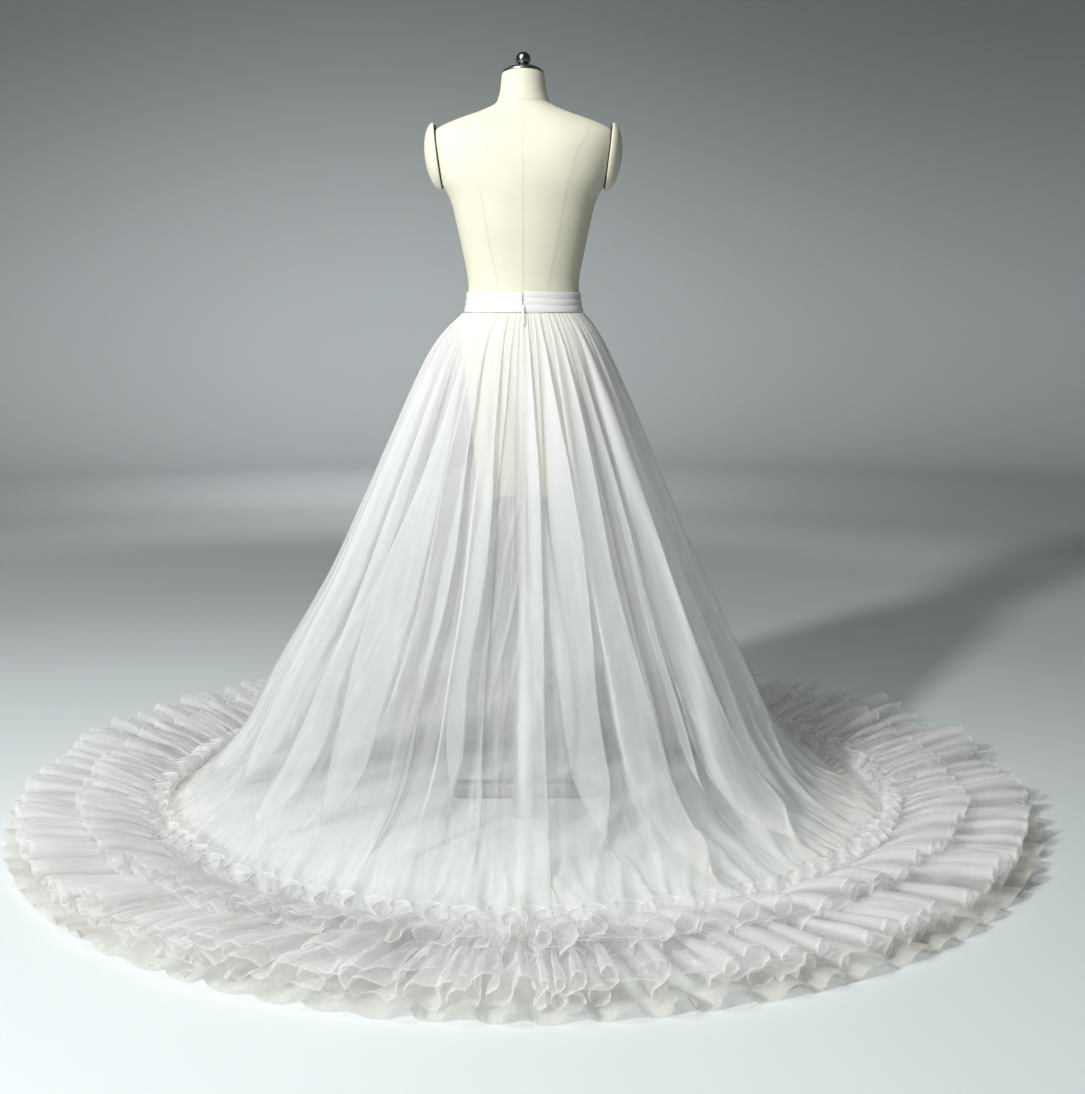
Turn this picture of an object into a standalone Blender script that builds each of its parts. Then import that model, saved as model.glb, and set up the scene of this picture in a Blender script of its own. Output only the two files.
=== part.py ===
"""A long tulle skirt with a circular ruffled train, worn by a limbless dress form on a pole.

Metres, +Z up. The origin is on the floor under the form's pole. The skirt's centre back faces -Y.
Angles round the body start at the centre back and grow towards +X.
"""

import math
from collections import namedtuple

import bmesh
import bpy
from mathutils import Matrix, Vector

MM = 0.001

# Cloth
CLOTH = 2.0 * MM
HEADING_CLOTH = 1.5 * MM
SEAM_GAP = 0.3 * MM
ZIP_GAP = 2.6 * MM
COLUMNS_PER_FOLD = 4

# One row for each level of the skirt, from the waist seam to the hem. left, right, back and front are
# distances from the pole; fold is half the depth of a fold; lift turns the fold from outwards to upwards.
Section = namedtuple("Section", "height left right back front fold lift")
SKIRT_SECTIONS = (
    Section(1.0143, 0.1225, 0.1225, 0.0850, 0.0925, 1.5 * MM, 0),
    Section(0.978, 0.159, 0.149, 0.110, 0.110, 5.0 * MM, 0),
    Section(0.930, 0.192, 0.174, 0.138, 0.126, 8.0 * MM, 0),
    Section(0.815, 0.245, 0.223, 0.178, 0.144, 13.0 * MM, 0),
    Section(0.480, 0.398, 0.361, 0.282, 0.180, 21.0 * MM, 0),
    Section(0.300, 0.488, 0.440, 0.346, 0.196, 24.0 * MM, 0),
    Section(0.150, 0.582, 0.524, 0.402, 0.212, 26.0 * MM, 8),
    Section(0.052, 0.650, 0.600, 0.452, 0.232, 24.0 * MM, 30),
    Section(0.000, 0.690, 0.660, 0.520, 0.290, 10.0 * MM, 90),
    Section(0.000, 0.715, 0.700, 0.640, 0.520, 4.5 * MM, 90),
    Section(0.000, 0.735, 0.735, 0.735, 0.735, 0.0 * MM, 90),
    Section(0.000, 1.013, 1.013, 1.013, 1.013, 0.0 * MM, 90),
    Section(0.000, 1.045, 1.045, 1.045, 1.045, 5.0 * MM, 60),
)
ZIP_END_ROW = 3

# One row for each fold: where its crest is, how deep it is against its section, how far it leans over.
Fold = namedtuple("Fold", "angle depth lean")
BACK_LEFT_FOLDS = (
    Fold(-90, 0.9, 0.0),
    Fold(-78, 1.2, -0.5),
    Fold(-65, 1.1, -0.4),
    Fold(-52, 1.0, -0.5),
    Fold(-41, 0.8, -0.2),
    Fold(-33, 0.9, -0.4),
    Fold(-24, 0.7, -0.3),
    Fold(-16, 0.9, -0.2),
    Fold(-8, 0.6, 0.1),
    Fold(0, 0.6, 0.0),
)
BACK_RIGHT_FOLDS = (
    Fold(0, 0.6, 0.0),
    Fold(7, 0.7, 0.2),
    Fold(15, 0.8, 0.4),
    Fold(23, 0.7, 0.2),
    Fold(31, 0.9, 0.4),
    Fold(39, 0.8, 0.3),
    Fold(49, 1.1, 0.5),
    Fold(61, 1.0, 0.4),
    Fold(75, 1.2, 0.5),
    Fold(90, 0.9, 0.0),
)
FRONT_FOLDS = (
    Fold(90, 0.9, 0.0),
    Fold(102, 1.1, 0.4),
    Fold(115, 1.0, 0.5),
    Fold(129, 0.8, 0.2),
    Fold(141, 1.0, 0.4),
    Fold(154, 0.7, 0.3),
    Fold(168, 0.9, 0.2),
    Fold(180, 0.8, 0.0),
    Fold(193, 0.9, -0.3),
    Fold(205, 1.0, -0.4),
    Fold(218, 0.8, -0.2),
    Fold(232, 1.1, -0.5),
    Fold(244, 0.9, -0.3),
    Fold(257, 1.1, -0.4),
    Fold(270, 0.9, 0.0),
)

# Ruffles on the train, one row for each line from the gathered edge to the free edge.
# low is the height of the troughs' underside, swell the height of a wave above it.
Tier = namedtuple("Tier", "radius low swell scallop")
UPPER_TIER = (
    Tier(0.753, 4.6 * MM, 0.0, 0.0),
    Tier(0.830, 9.4 * MM, 11.0 * MM, 0.0),
    Tier(0.900, 17.4 * MM, 21.0 * MM, 6.0 * MM),
)
MIDDLE_TIER = (
    Tier(0.753, 2.3 * MM, 0.0, 0.0),
    Tier(0.885, 2.3 * MM, 6.0 * MM, 0.0),
    Tier(1.000, 2.3 * MM, 25.0 * MM, 7.0 * MM),
)
HEADING = (
    Tier(0.7450, 3.0 * MM, 1.5 * MM, 0.0),
    Tier(0.7540, 47.0 * MM, 9.0 * MM, 4.0 * MM),
)
UPPER_WAVES = 44
MIDDLE_WAVES = 50
HEADING_WAVES = 40

# How unlike the waves of a ruffle are: in spacing, as a share of a wave, in height, and along the
# heading's edge. Each rate is in radians a wave, or a column at the heading's edge.
WAVE_DRIFT = 0.22
WAVE_DRIFT_RATE = 2.4
WAVE_UNEVEN = 0.22
WAVE_UNEVEN_RATE = 1.7
HEADING_EDGE_RATE = 3.1

# Dress form. square is the exponent of the oval: 2 is an ellipse, more is boxier.
Girth = namedtuple("Girth", "height half back front square")
TORSO = (
    Girth(0.654, 0.164, 0.100, 0.104, 2.20),
    Girth(0.700, 0.173, 0.112, 0.110, 2.20),
    Girth(0.780, 0.176, 0.120, 0.110, 2.20),
    Girth(0.860, 0.170, 0.120, 0.105, 2.20),
    Girth(0.920, 0.156, 0.109, 0.100, 2.15),
    Girth(0.978, 0.136, 0.0925, 0.0925, 2.05),
    Girth(1.012, 0.1190, 0.0805, 0.0880, 2.00),
    Girth(1.060, 0.1112, 0.0756, 0.0856, 2.00),
    Girth(1.090, 0.1130, 0.0770, 0.0885, 2.05),
    Girth(1.139, 0.1225, 0.0840, 0.0990, 2.20),
    Girth(1.180, 0.1312, 0.0920, 0.1130, 2.30),
    Girth(1.237, 0.1455, 0.1020, 0.1300, 2.30),
    Girth(1.275, 0.1660, 0.1060, 0.1300, 2.30),
    Girth(1.320, 0.1810, 0.1040, 0.1180, 2.30),
    Girth(1.350, 0.1840, 0.0960, 0.1000, 2.30),
    Girth(1.373, 0.1730, 0.0840, 0.0820, 2.20),
    Girth(1.392, 0.1335, 0.0710, 0.0680, 2.10),
    Girth(1.407, 0.0900, 0.0600, 0.0580, 2.05),
    Girth(1.422, 0.0565, 0.0530, 0.0530, 2.00),
    Girth(1.436, 0.0487, 0.0490, 0.0490, 2.00),
    Girth(1.452, 0.0450, 0.0455, 0.0455, 2.00),
    Girth(1.478, 0.0422, 0.0430, 0.0430, 2.00),
)
TORSO_COLUMNS = 32
NECK_TILT = math.radians(9)

# The armhole is a flat face; its plate and the shoulder cap are carried on it.
ARMHOLE_CENTRE = Vector((0.1667, 0.002, 1.322))
ARMHOLE_LEAN = math.atan2(0.175 - 0.160, 1.391 - 1.267)
PLATE = Vector((0.0520, 0.0620, 2.0 * MM))
CAP = Vector((0.0570, 0.0665, 0.0265))

NECK_CAP_RADIUS = 0.0405
NECK_CAP_THICK = 0.011
NECK_CAP_BEVEL = 0.006
NECK_CAP_SLOPE = 0.0078
KNOB_RADIUS = 0.0145
KNOB_SEAT = 0.0135
KNOB_STEM = 0.0055
KNOB_STEM_RADIUS = 0.0055
KNOB_FOOT_RADIUS = 0.0075
KNOB_STEPS = 7
KNOB_STEP = math.radians(22)

POLE_RADIUS = 0.016
BASE_LEG = Vector((0.300, 0.044, 0.030))
BASE_BEVEL = 0.005

# Waistband: rises from its lower edge; each puff between two tucks stands this far out.
BAND_LOW = 1.016
BAND_HIGH = 1.056
BAND_CLEAR = 0.5 * MM
BAND_WALL = 3.0 * MM
BAND_PUFFS = (0.75, 1.0, 0.55, 1.0, 0.55, 1.0, 0.70)
BAND_LAP_RISE = 2.0 * MM
BAND_LAP_ANGLE = 36.0

ZIP_RADIUS = 1.0 * MM
SLIDER = Vector((5.6 * MM, 2.4 * MM, 13.0 * MM))
BRIDGE_WIRE = 0.5 * MM
BRIDGE_HALF = 2.2 * MM
BRIDGE_HEIGHT = 2.8 * MM
PULL_PIVOT_OUT = 1.2 * MM
PULL_THICK = 1.0 * MM
PULL_LENGTH = 30.0 * MM
PULL_HALF = 3.3 * MM
PULL_CLEAR = 0.8 * MM
# Half width, then the top and the bottom edge, measured down from the hinge.
PULL_HEAD = Vector((2.7 * MM, -0.5 * MM, 4.4 * MM))
PULL_WINDOW = Vector((1.5 * MM, 0.5 * MM, 3.9 * MM))
PULL_NECK = Vector((1.6 * MM, 6.5 * MM))

HOOK_HEIGHT = 1.040
HOOK_WIRE = 0.45 * MM
# Points of the hook's wire: to the right of the opening, and above HOOK_HEIGHT.
HOOK_BENDS = ((3.6 * MM, 1.2 * MM), (2.2 * MM, 1.0 * MM), (-1.2 * MM, 0.2 * MM), (-2.6 * MM, -0.2 * MM))

COLOURS = {
    "tulle": ((0.88, 0.89, 0.91, 1), 0.8, 0.0),
    "satin": ((0.86, 0.87, 0.89, 1), 0.45, 0.0),
    "linen": ((0.80, 0.78, 0.66, 1), 0.85, 0.0),
    "armhole": ((0.16, 0.15, 0.13, 1), 0.7, 0.0),
    "steel": ((0.62, 0.62, 0.62, 1), 0.3, 1.0),
    "iron": ((0.30, 0.30, 0.30, 1), 0.5, 0.0),
    "zip": ((0.82, 0.83, 0.84, 1), 0.5, 0.0),
}


def clear_scene():
    for obj in list(bpy.data.objects):
        bpy.data.objects.remove(obj, do_unlink=True)


def make_collection(name):
    collection = bpy.data.collections.new(name)
    bpy.context.scene.collection.children.link(collection)
    return collection


def make_material(node_name, look):
    colour, roughness, metallic = COLOURS[look]
    material = bpy.data.materials.new(node_name)
    material.use_nodes = True
    shader = material.node_tree.nodes["Principled BSDF"]
    shader.inputs["Base Color"].default_value = colour
    shader.inputs["Roughness"].default_value = roughness
    shader.inputs["Metallic"].default_value = metallic
    return material


def add_piece(name, shape, look, smooth=True):
    """Turns a bmesh into a named object in the part's collection."""
    mesh = bpy.data.meshes.new(name)
    shape.to_mesh(mesh)
    shape.free()
    if smooth:
        mesh.shade_smooth()
    mesh.materials.append(make_material(name, look))
    piece = bpy.data.objects.new(name, mesh)
    PART.objects.link(piece)
    return piece


def add_helper(name, mesh):
    """Keeps a mesh that a Boolean reads, out of sight and out of the part."""
    helper = bpy.data.objects.new(name, mesh)
    helper.hide_render = True
    helper.display_type = "WIRE"
    CUTTERS.objects.link(helper)
    return helper


def helper_from(name, shape):
    mesh = bpy.data.meshes.new(name)
    shape.to_mesh(mesh)
    shape.free()
    return add_helper(name, mesh)


def boolean(piece, name, helper, operation):
    step = piece.modifiers.new(name, "BOOLEAN")
    step.object = helper
    step.operation = operation


def solidify(piece, thickness):
    wall = piece.modifiers.new("wall", "SOLIDIFY")
    wall.thickness = thickness
    wall.offset = 1.0
    return wall


def moved_grid(columns, rows, place, closed=False):
    """A grid whose vertices go where place(column, row) says. Row 0 is the top edge."""
    shape = bmesh.new()
    bmesh.ops.create_grid(shape, x_segments=columns, y_segments=rows, size=1.0)
    for vertex in shape.verts:
        column = round((vertex.co.x + 1) / 2 * columns)
        row = rows - round((vertex.co.y + 1) / 2 * rows)
        vertex.co = place(column, row)
    if closed:
        bmesh.ops.remove_doubles(shape, verts=shape.verts[:], dist=0.01 * MM)
    return shape


def close_ends(shape):
    """Fills the open rims of a loft and turns its faces outwards."""
    rims = [edge for edge in shape.edges if edge.is_boundary]
    bmesh.ops.holes_fill(shape, edges=rims)
    bmesh.ops.recalc_face_normals(shape, faces=shape.faces[:])


def fold_column(folds, column):
    """Angle, wave (1 on a crest, -1 in a trough), depth and lean of one column of a panel."""
    first = min(column // COLUMNS_PER_FOLD, len(folds) - 2)
    share = (column - first * COLUMNS_PER_FOLD) / COLUMNS_PER_FOLD
    here = folds[first]
    following = folds[first + 1]
    angle = math.radians(here.angle + share * (following.angle - here.angle))
    wave = math.cos(2 * math.pi * share)
    depth = here.depth + share * (following.depth - here.depth)
    lean = here.lean if share < 0.5 else following.lean
    return angle, wave, depth, lean * abs(math.cos(math.pi * share))


def skirt_point(folds, column, row):
    section = SKIRT_SECTIONS[row]
    angle, wave, depth, lean = fold_column(folds, column)
    outwards = Vector((math.sin(angle), -math.cos(angle), 0))
    along = Vector((math.cos(angle), math.sin(angle), 0))
    across = section.right if outwards.x > 0 else section.left
    deep = section.back if outwards.y < 0 else section.front
    point = Vector((across * outwards.x, deep * outwards.y, section.height))
    lift = math.radians(section.lift)
    swell = section.fold * depth
    point += outwards * swell * wave * math.cos(lift)
    point += Vector((0, 0, swell * (1 + wave) * math.sin(lift)))
    point += along * swell * lean * math.cos(lift)
    return point


def seam_shift(folds, column, row):
    """Parts the edge columns of a panel from their seam, more where the zip runs."""
    last = COLUMNS_PER_FOLD * (len(folds) - 1)
    if column not in (0, last):
        return Vector((0, 0, 0))
    angle = math.radians(folds[0].angle if column == 0 else folds[-1].angle)
    at_zip = abs(angle) < 0.01 and row <= ZIP_END_ROW
    gap = ZIP_GAP if at_zip else SEAM_GAP
    side = 1 if column == 0 else -1
    return Vector((math.cos(angle), math.sin(angle), 0)) * side * gap / 2


def make_panel(name, folds):
    def place(column, row):
        return skirt_point(folds, column, row) + seam_shift(folds, column, row)

    columns = COLUMNS_PER_FOLD * (len(folds) - 1)
    panel = add_piece(name, moved_grid(columns, len(SKIRT_SECTIONS) - 1, place), "tulle")
    solidify(panel, CLOTH)


def wave_column(column, waves):
    """Angle, height from 0 to 1 and strength of one column of a ruffle with uneven waves."""
    count = waves * COLUMNS_PER_FOLD
    turn = (column % count) / COLUMNS_PER_FOLD
    crest = round(turn) % waves
    drift = WAVE_DRIFT * math.sin(WAVE_DRIFT_RATE * turn) * math.sin(math.pi * turn / waves)
    angle = 2 * math.pi * (turn + drift) / waves
    strength = 1 + WAVE_UNEVEN * math.sin(WAVE_UNEVEN_RATE * crest)
    return angle, (1 + math.cos(2 * math.pi * turn)) / 2, strength


def make_tier(name, rows, waves):
    def place(column, row):
        tier = rows[row]
        angle, high, strength = wave_column(column, waves)
        radius = tier.radius + tier.scallop * (high - 0.5)
        height = tier.low + tier.swell * high * strength
        return Vector((radius * math.sin(angle), -radius * math.cos(angle), height))

    shape = moved_grid(waves * COLUMNS_PER_FOLD, len(rows) - 1, place, closed=True)
    solidify(add_piece(name, shape, "tulle"), CLOTH)


def make_heading():
    columns = HEADING_WAVES * COLUMNS_PER_FOLD

    def place(column, row):
        tier = HEADING[len(HEADING) - 1 - row]
        angle, high, strength = wave_column(column, HEADING_WAVES)
        radius = tier.radius + tier.swell * (2 * high - 1) * strength
        height = tier.low + tier.scallop * math.sin(HEADING_EDGE_RATE * (column % columns))
        return Vector((radius * math.sin(angle), -radius * math.cos(angle), height))

    shape = moved_grid(columns, len(HEADING) - 1, place, closed=True)
    solidify(add_piece("ruffle_heading", shape, "tulle"), HEADING_CLOTH)


def rounded(value, square):
    return math.copysign(abs(value) ** (2 / square), value)


def torso_point(height, angle, clear=0.0):
    """A point of the form's surface, moved out by clear."""
    above = next((i for i, girth in enumerate(TORSO) if girth.height >= height), len(TORSO) - 1)
    above = max(above, 1)
    low = TORSO[above - 1]
    high = TORSO[above]
    share = (height - low.height) / (high.height - low.height)
    girth = Girth(*(a + share * (b - a) for a, b in zip(low, high)))
    deep = girth.back if math.cos(angle) > 0 else girth.front
    across = rounded(math.sin(angle), girth.square) * (girth.half + clear)
    back = rounded(math.cos(angle), girth.square) * (deep + clear)
    return Vector((across, -back, height))


def make_torso():
    def place(column, row):
        girth = TORSO[len(TORSO) - 1 - row]
        point = torso_point(girth.height, 2 * math.pi * column / TORSO_COLUMNS)
        if row == 0:
            point.z -= point.y * math.tan(NECK_TILT)
        return point

    shape = moved_grid(TORSO_COLUMNS, len(TORSO) - 1, place, closed=True)
    close_ends(shape)
    torso = add_piece("form_torso", shape, "linen")
    for side in (-1, 1):
        boolean(torso, "armhole", make_armhole_cutter(side), "DIFFERENCE")


def armhole_frame(side, out=0.0):
    """The armhole's place: local Z points out of the body, local Y runs up the armhole."""
    outwards = Vector((math.cos(ARMHOLE_LEAN) * side, 0, -math.sin(ARMHOLE_LEAN)))
    upwards = Vector((math.sin(ARMHOLE_LEAN) * side, 0, math.cos(ARMHOLE_LEAN)))
    across = upwards.cross(outwards)
    centre = Vector((ARMHOLE_CENTRE.x * side, ARMHOLE_CENTRE.y, ARMHOLE_CENTRE.z)) + outwards * out
    frame = Matrix((across, upwards, outwards)).transposed().to_4x4()
    frame.translation = centre
    return frame


def make_armhole_cutter(side):
    size = 0.2
    shape = bmesh.new()
    bmesh.ops.create_cube(shape, size=size)
    bmesh.ops.transform(shape, matrix=armhole_frame(side, size / 2), verts=shape.verts[:])
    return helper_from("armhole_cutter", shape)


def make_plate(name, side):
    shape = bmesh.new()
    bmesh.ops.create_cone(
        shape, cap_ends=True, segments=24, radius1=1.0, radius2=1.0, depth=PLATE.z,
    )
    frame = armhole_frame(side, SEAM_GAP + PLATE.z / 2)
    scale = Matrix.Diagonal((PLATE.x, PLATE.y, 1, 1))
    bmesh.ops.transform(shape, matrix=frame @ scale, verts=shape.verts[:])
    bmesh.ops.recalc_face_normals(shape, faces=shape.faces[:])
    add_piece(name, shape, "armhole", smooth=False)


def make_cap(name, side):
    shape = bmesh.new()
    bmesh.ops.create_uvsphere(shape, u_segments=24, v_segments=8, radius=1.0)
    bmesh.ops.bisect_plane(
        shape, geom=shape.verts[:] + shape.edges[:] + shape.faces[:],
        plane_co=(0, 0, 0), plane_no=(0, 0, 1), clear_inner=True,
    )
    close_ends(shape)
    frame = armhole_frame(side, 2 * SEAM_GAP + PLATE.z)
    scale = Matrix.Diagonal((CAP.x, CAP.y, CAP.z, 1))
    bmesh.ops.transform(shape, matrix=frame @ scale, verts=shape.verts[:])
    bmesh.ops.recalc_face_normals(shape, faces=shape.faces[:])
    add_piece(name, shape, "linen")


def make_turned(name, profile, steps, place, look):
    """A turned piece: profile is a list of (radius, height), from the top to the bottom."""
    shape = bmesh.new()
    points = [shape.verts.new((radius, 0, height)) for radius, height in profile]
    for start, end in zip(points, points[1:]):
        shape.edges.new((start, end))
    piece = add_piece(name, shape, look, smooth=False)
    turn = piece.modifiers.new("turn", "SCREW")
    turn.steps = steps
    turn.render_steps = steps
    turn.use_merge_vertices = True
    turn.merge_threshold = 0.1 * MM
    turn.use_smooth_shade = True
    piece.matrix_world = place
    return piece


def make_neck():
    top = TORSO[-1].height
    tilt = Matrix.Rotation(-NECK_TILT, 4, "X")
    seat = Matrix.Translation((0, 0, top)) @ tilt
    low = SEAM_GAP
    shoulder = low + NECK_CAP_THICK - NECK_CAP_BEVEL
    high = low + NECK_CAP_THICK
    cap_profile = (
        (0, high), (NECK_CAP_RADIUS - NECK_CAP_SLOPE, high), (NECK_CAP_RADIUS, shoulder),
        (NECK_CAP_RADIUS, low), (0, low),
    )
    make_turned("neck_cap", cap_profile, 32, seat, "steel")
    foot = high + SEAM_GAP
    middle = foot + KNOB_STEM + KNOB_SEAT
    ball = [(0, middle + KNOB_RADIUS)]
    for step in range(1, KNOB_STEPS + 1):
        angle = KNOB_STEP * step
        ball.append((KNOB_RADIUS * math.sin(angle), middle + KNOB_RADIUS * math.cos(angle)))
    stem = [(KNOB_STEM_RADIUS, foot + KNOB_STEM / 2), (KNOB_FOOT_RADIUS, foot), (0, foot)]
    make_turned("neck_knob", ball + stem, 16, seat, "steel")


def make_stand():
    shape = bmesh.new()
    bmesh.ops.create_cone(
        shape, cap_ends=True, segments=20, radius1=POLE_RADIUS, radius2=POLE_RADIUS,
        depth=TORSO[0].height - BASE_LEG.z - 2 * SEAM_GAP,
    )
    middle = (TORSO[0].height + BASE_LEG.z) / 2
    bmesh.ops.translate(shape, verts=shape.verts[:], vec=(0, 0, middle))
    add_piece("stand_pole", shape, "steel")
    base = add_piece("stand_base", leg_bar(0), "iron", smooth=False)
    boolean(base, "cross", helper_from("leg_bar", leg_bar(90)), "UNION")
    edge = base.modifiers.new("edge", "BEVEL")
    edge.width = BASE_BEVEL
    edge.segments = 1
    edge.limit_method = "ANGLE"


def leg_bar(turn):
    shape = bmesh.new()
    bmesh.ops.create_cube(shape, size=1.0)
    bmesh.ops.scale(shape, vec=BASE_LEG, verts=shape.verts[:])
    bmesh.ops.translate(shape, verts=shape.verts[:], vec=(0, 0, BASE_LEG.z / 2))
    spin = Matrix.Rotation(math.radians(turn), 3, "Z")
    bmesh.ops.rotate(shape, cent=(0, 0, 0), matrix=spin, verts=shape.verts[:])
    return shape


def make_waistband():
    rows = len(BAND_PUFFS) - 1

    def place(column, row):
        angle = 2 * math.pi * column / TORSO_COLUMNS
        share = 1 - row / rows
        lap = max(0.0, 1 - math.degrees(angle) / BAND_LAP_ANGLE)
        height = BAND_LOW + share * (BAND_HIGH - BAND_LOW + BAND_LAP_RISE * lap)
        point = torso_point(height, angle, BAND_CLEAR)
        if column in (0, TORSO_COLUMNS):
            point.x = ZIP_GAP / 2 if column == 0 else -ZIP_GAP / 2
        return point

    shape = moved_grid(TORSO_COLUMNS, rows, place)
    weights = []
    shape.verts.ensure_lookup_table()
    for vertex in shape.verts:
        weights.append(BAND_PUFFS[band_row(vertex.index, TORSO_COLUMNS, rows)])
    band = add_piece("waistband", shape, "satin")
    group = band.vertex_groups.new(name="puff")
    for index, weight in enumerate(weights):
        group.add([index], weight, "REPLACE")
    solidify(band, BAND_WALL).vertex_group = "puff"


def band_row(index, columns, rows):
    """The row, from the top, of a grid's vertex: the grid is filled row by row from the bottom."""
    return rows - index // (columns + 1)


def centre_back_line(row):
    """The middle of the wall on the centre-back crest."""
    point = skirt_point(BACK_RIGHT_FOLDS, 0, row)
    return Vector((0, point.y - CLOTH / 2, point.z))


def make_wire(name, points, radius, look, sides):
    curve = bpy.data.curves.new(name, "CURVE")
    curve.dimensions = "3D"
    curve.bevel_depth = radius
    curve.bevel_resolution = sides
    curve.use_fill_caps = True
    line = curve.splines.new("POLY")
    line.points.add(len(points) - 1)
    for target, point in zip(line.points, points):
        target.co = (*point, 1)
    curve.materials.append(make_material(name, look))
    wire = bpy.data.objects.new(name, curve)
    PART.objects.link(wire)
    return wire


def make_zip():
    band_depth = BAND_CLEAR + BAND_WALL / 2
    top = torso_point(BAND_HIGH - 2 * MM, 0, band_depth)
    foot = torso_point(BAND_LOW + 1 * MM, 0, band_depth)
    points = [top, foot]
    for row in range(ZIP_END_ROW + 1):
        points.append(centre_back_line(row))
    points[-1] = points[-1] + (points[-2] - points[-1]).normalized() * 2 * MM
    points[2] = points[2] + (points[3] - points[2]).normalized() * 1.5 * MM
    make_wire("zip_coil", points, ZIP_RADIUS, "zip", 1)


def slider_frame():
    """Where the slider sits on the waistband: origin on the middle of its outer face."""
    low = torso_point(BAND_LOW, 0, BAND_CLEAR + BAND_WALL)
    high = torso_point(BAND_HIGH, 0, BAND_CLEAR + BAND_WALL)
    upwards = (high - low).normalized()
    outwards = Vector((1, 0, 0)).cross(upwards)
    if outwards.y > 0:
        outwards.negate()
    centre = low + upwards * (SLIDER.z / 2 + 0.8 * MM) + outwards * (SEAM_GAP + SLIDER.y)
    return centre, upwards, outwards


def make_slider():
    centre, upwards, outwards = slider_frame()
    shape = bmesh.new()
    bmesh.ops.create_cube(shape, size=1.0)
    bmesh.ops.scale(shape, vec=SLIDER, verts=shape.verts[:])
    turn = Matrix((Vector((1, 0, 0)), -outwards, upwards)).transposed().to_4x4()
    turn.translation = centre - outwards * SLIDER.y / 2
    bmesh.ops.transform(shape, matrix=turn, verts=shape.verts[:])
    bmesh.ops.recalc_face_normals(shape, faces=shape.faces[:])
    body = add_piece("zip_slider", shape, "zip", smooth=False)
    arch = [
        centre - outwards * MM + upwards * BRIDGE_HALF,
        centre + outwards * (BRIDGE_HEIGHT - MM) + upwards * BRIDGE_HALF,
        centre + outwards * BRIDGE_HEIGHT + upwards * (BRIDGE_HALF - MM),
        centre + outwards * BRIDGE_HEIGHT - upwards * (BRIDGE_HALF - MM),
        centre + outwards * (BRIDGE_HEIGHT - MM) - upwards * BRIDGE_HALF,
        centre - outwards * MM - upwards * BRIDGE_HALF,
    ]
    boolean(body, "bridge", helper_from_wire(make_wire("bridge", arch, BRIDGE_WIRE, "zip", 1)), "UNION")


def helper_from_wire(wire):
    """Makes a closed mesh helper of a curve object, and removes the curve."""
    graph = bpy.context.evaluated_depsgraph_get()
    mesh = bpy.data.meshes.new_from_object(wire.evaluated_get(graph))
    shape = bmesh.new()
    shape.from_mesh(mesh)
    bmesh.ops.remove_doubles(shape, verts=shape.verts[:], dist=0.01 * MM)
    shape.to_mesh(mesh)
    shape.free()
    helper = add_helper(wire.name + "_mesh", mesh)
    helper.matrix_world = wire.matrix_world
    bpy.data.objects.remove(wire, do_unlink=True)
    return helper


def pull_frame():
    """The pull hinges at its top bar and lies on the slope of the centre-back crest."""
    centre, _, outwards = slider_frame()
    pivot = centre + outwards * PULL_PIVOT_OUT
    slope_top = centre_back_line(0)
    slope_end = centre_back_line(1)
    slope = (slope_end - slope_top).normalized()
    off = Vector((1, 0, 0)).cross(slope)
    if off.y > 0:
        off.negate()
    lowest = slope_end + off * (CLOTH / 2 + PULL_CLEAR + PULL_THICK / 2)
    along = (lowest - pivot).normalized()
    return pivot, along


def make_pull():
    pivot, along = pull_frame()
    head = PULL_HEAD
    outline = [(-head.x, head.y), (head.x, head.y), (head.x, head.z), (PULL_NECK.x, PULL_NECK.y)]
    for step in range(9):
        turn = math.radians(-30 + 30 * step)
        outline.append((PULL_HALF * math.cos(turn), PULL_LENGTH - PULL_HALF * (1 - math.sin(turn))))
    outline += [(-PULL_NECK.x, PULL_NECK.y), (-head.x, head.z)]
    shape = bmesh.new()
    rim = [shape.verts.new((x, y, -PULL_THICK / 2)) for x, y in outline]
    plate = shape.faces.new(rim)
    lifted = bmesh.ops.extrude_face_region(shape, geom=[plate])["geom"]
    tops = [item for item in lifted if isinstance(item, bmesh.types.BMVert)]
    bmesh.ops.translate(shape, verts=tops, vec=(0, 0, PULL_THICK))
    off = Vector((1, 0, 0)).cross(along)
    turn = Matrix((Vector((1, 0, 0)), along, off)).transposed().to_4x4()
    turn.translation = pivot
    bmesh.ops.transform(shape, matrix=turn, verts=shape.verts[:])
    bmesh.ops.recalc_face_normals(shape, faces=shape.faces[:])
    pull = add_piece("zip_pull", shape, "zip", smooth=False)
    hole = bmesh.new()
    bmesh.ops.create_cube(hole, size=1.0)
    low, high = PULL_WINDOW.y, PULL_WINDOW.z
    bmesh.ops.scale(hole, vec=(2 * PULL_WINDOW.x, high - low, 4 * PULL_THICK), verts=hole.verts[:])
    bmesh.ops.translate(hole, verts=hole.verts[:], vec=(0, (low + high) / 2, 0))
    bmesh.ops.transform(hole, matrix=turn, verts=hole.verts[:])
    bmesh.ops.recalc_face_normals(hole, faces=hole.faces[:])
    boolean(pull, "window", helper_from("pull_window", hole), "DIFFERENCE")


def make_hook():
    """A wire hook across the opening of the waistband."""
    out = BAND_CLEAR + BAND_WALL + SEAM_GAP + HOOK_WIRE
    depth = torso_point(HOOK_HEIGHT, 0, out).y
    points = [Vector((across, depth, HOOK_HEIGHT + above)) for across, above in HOOK_BENDS]
    make_wire("waist_hook", points, HOOK_WIRE, "steel", 1)


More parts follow.
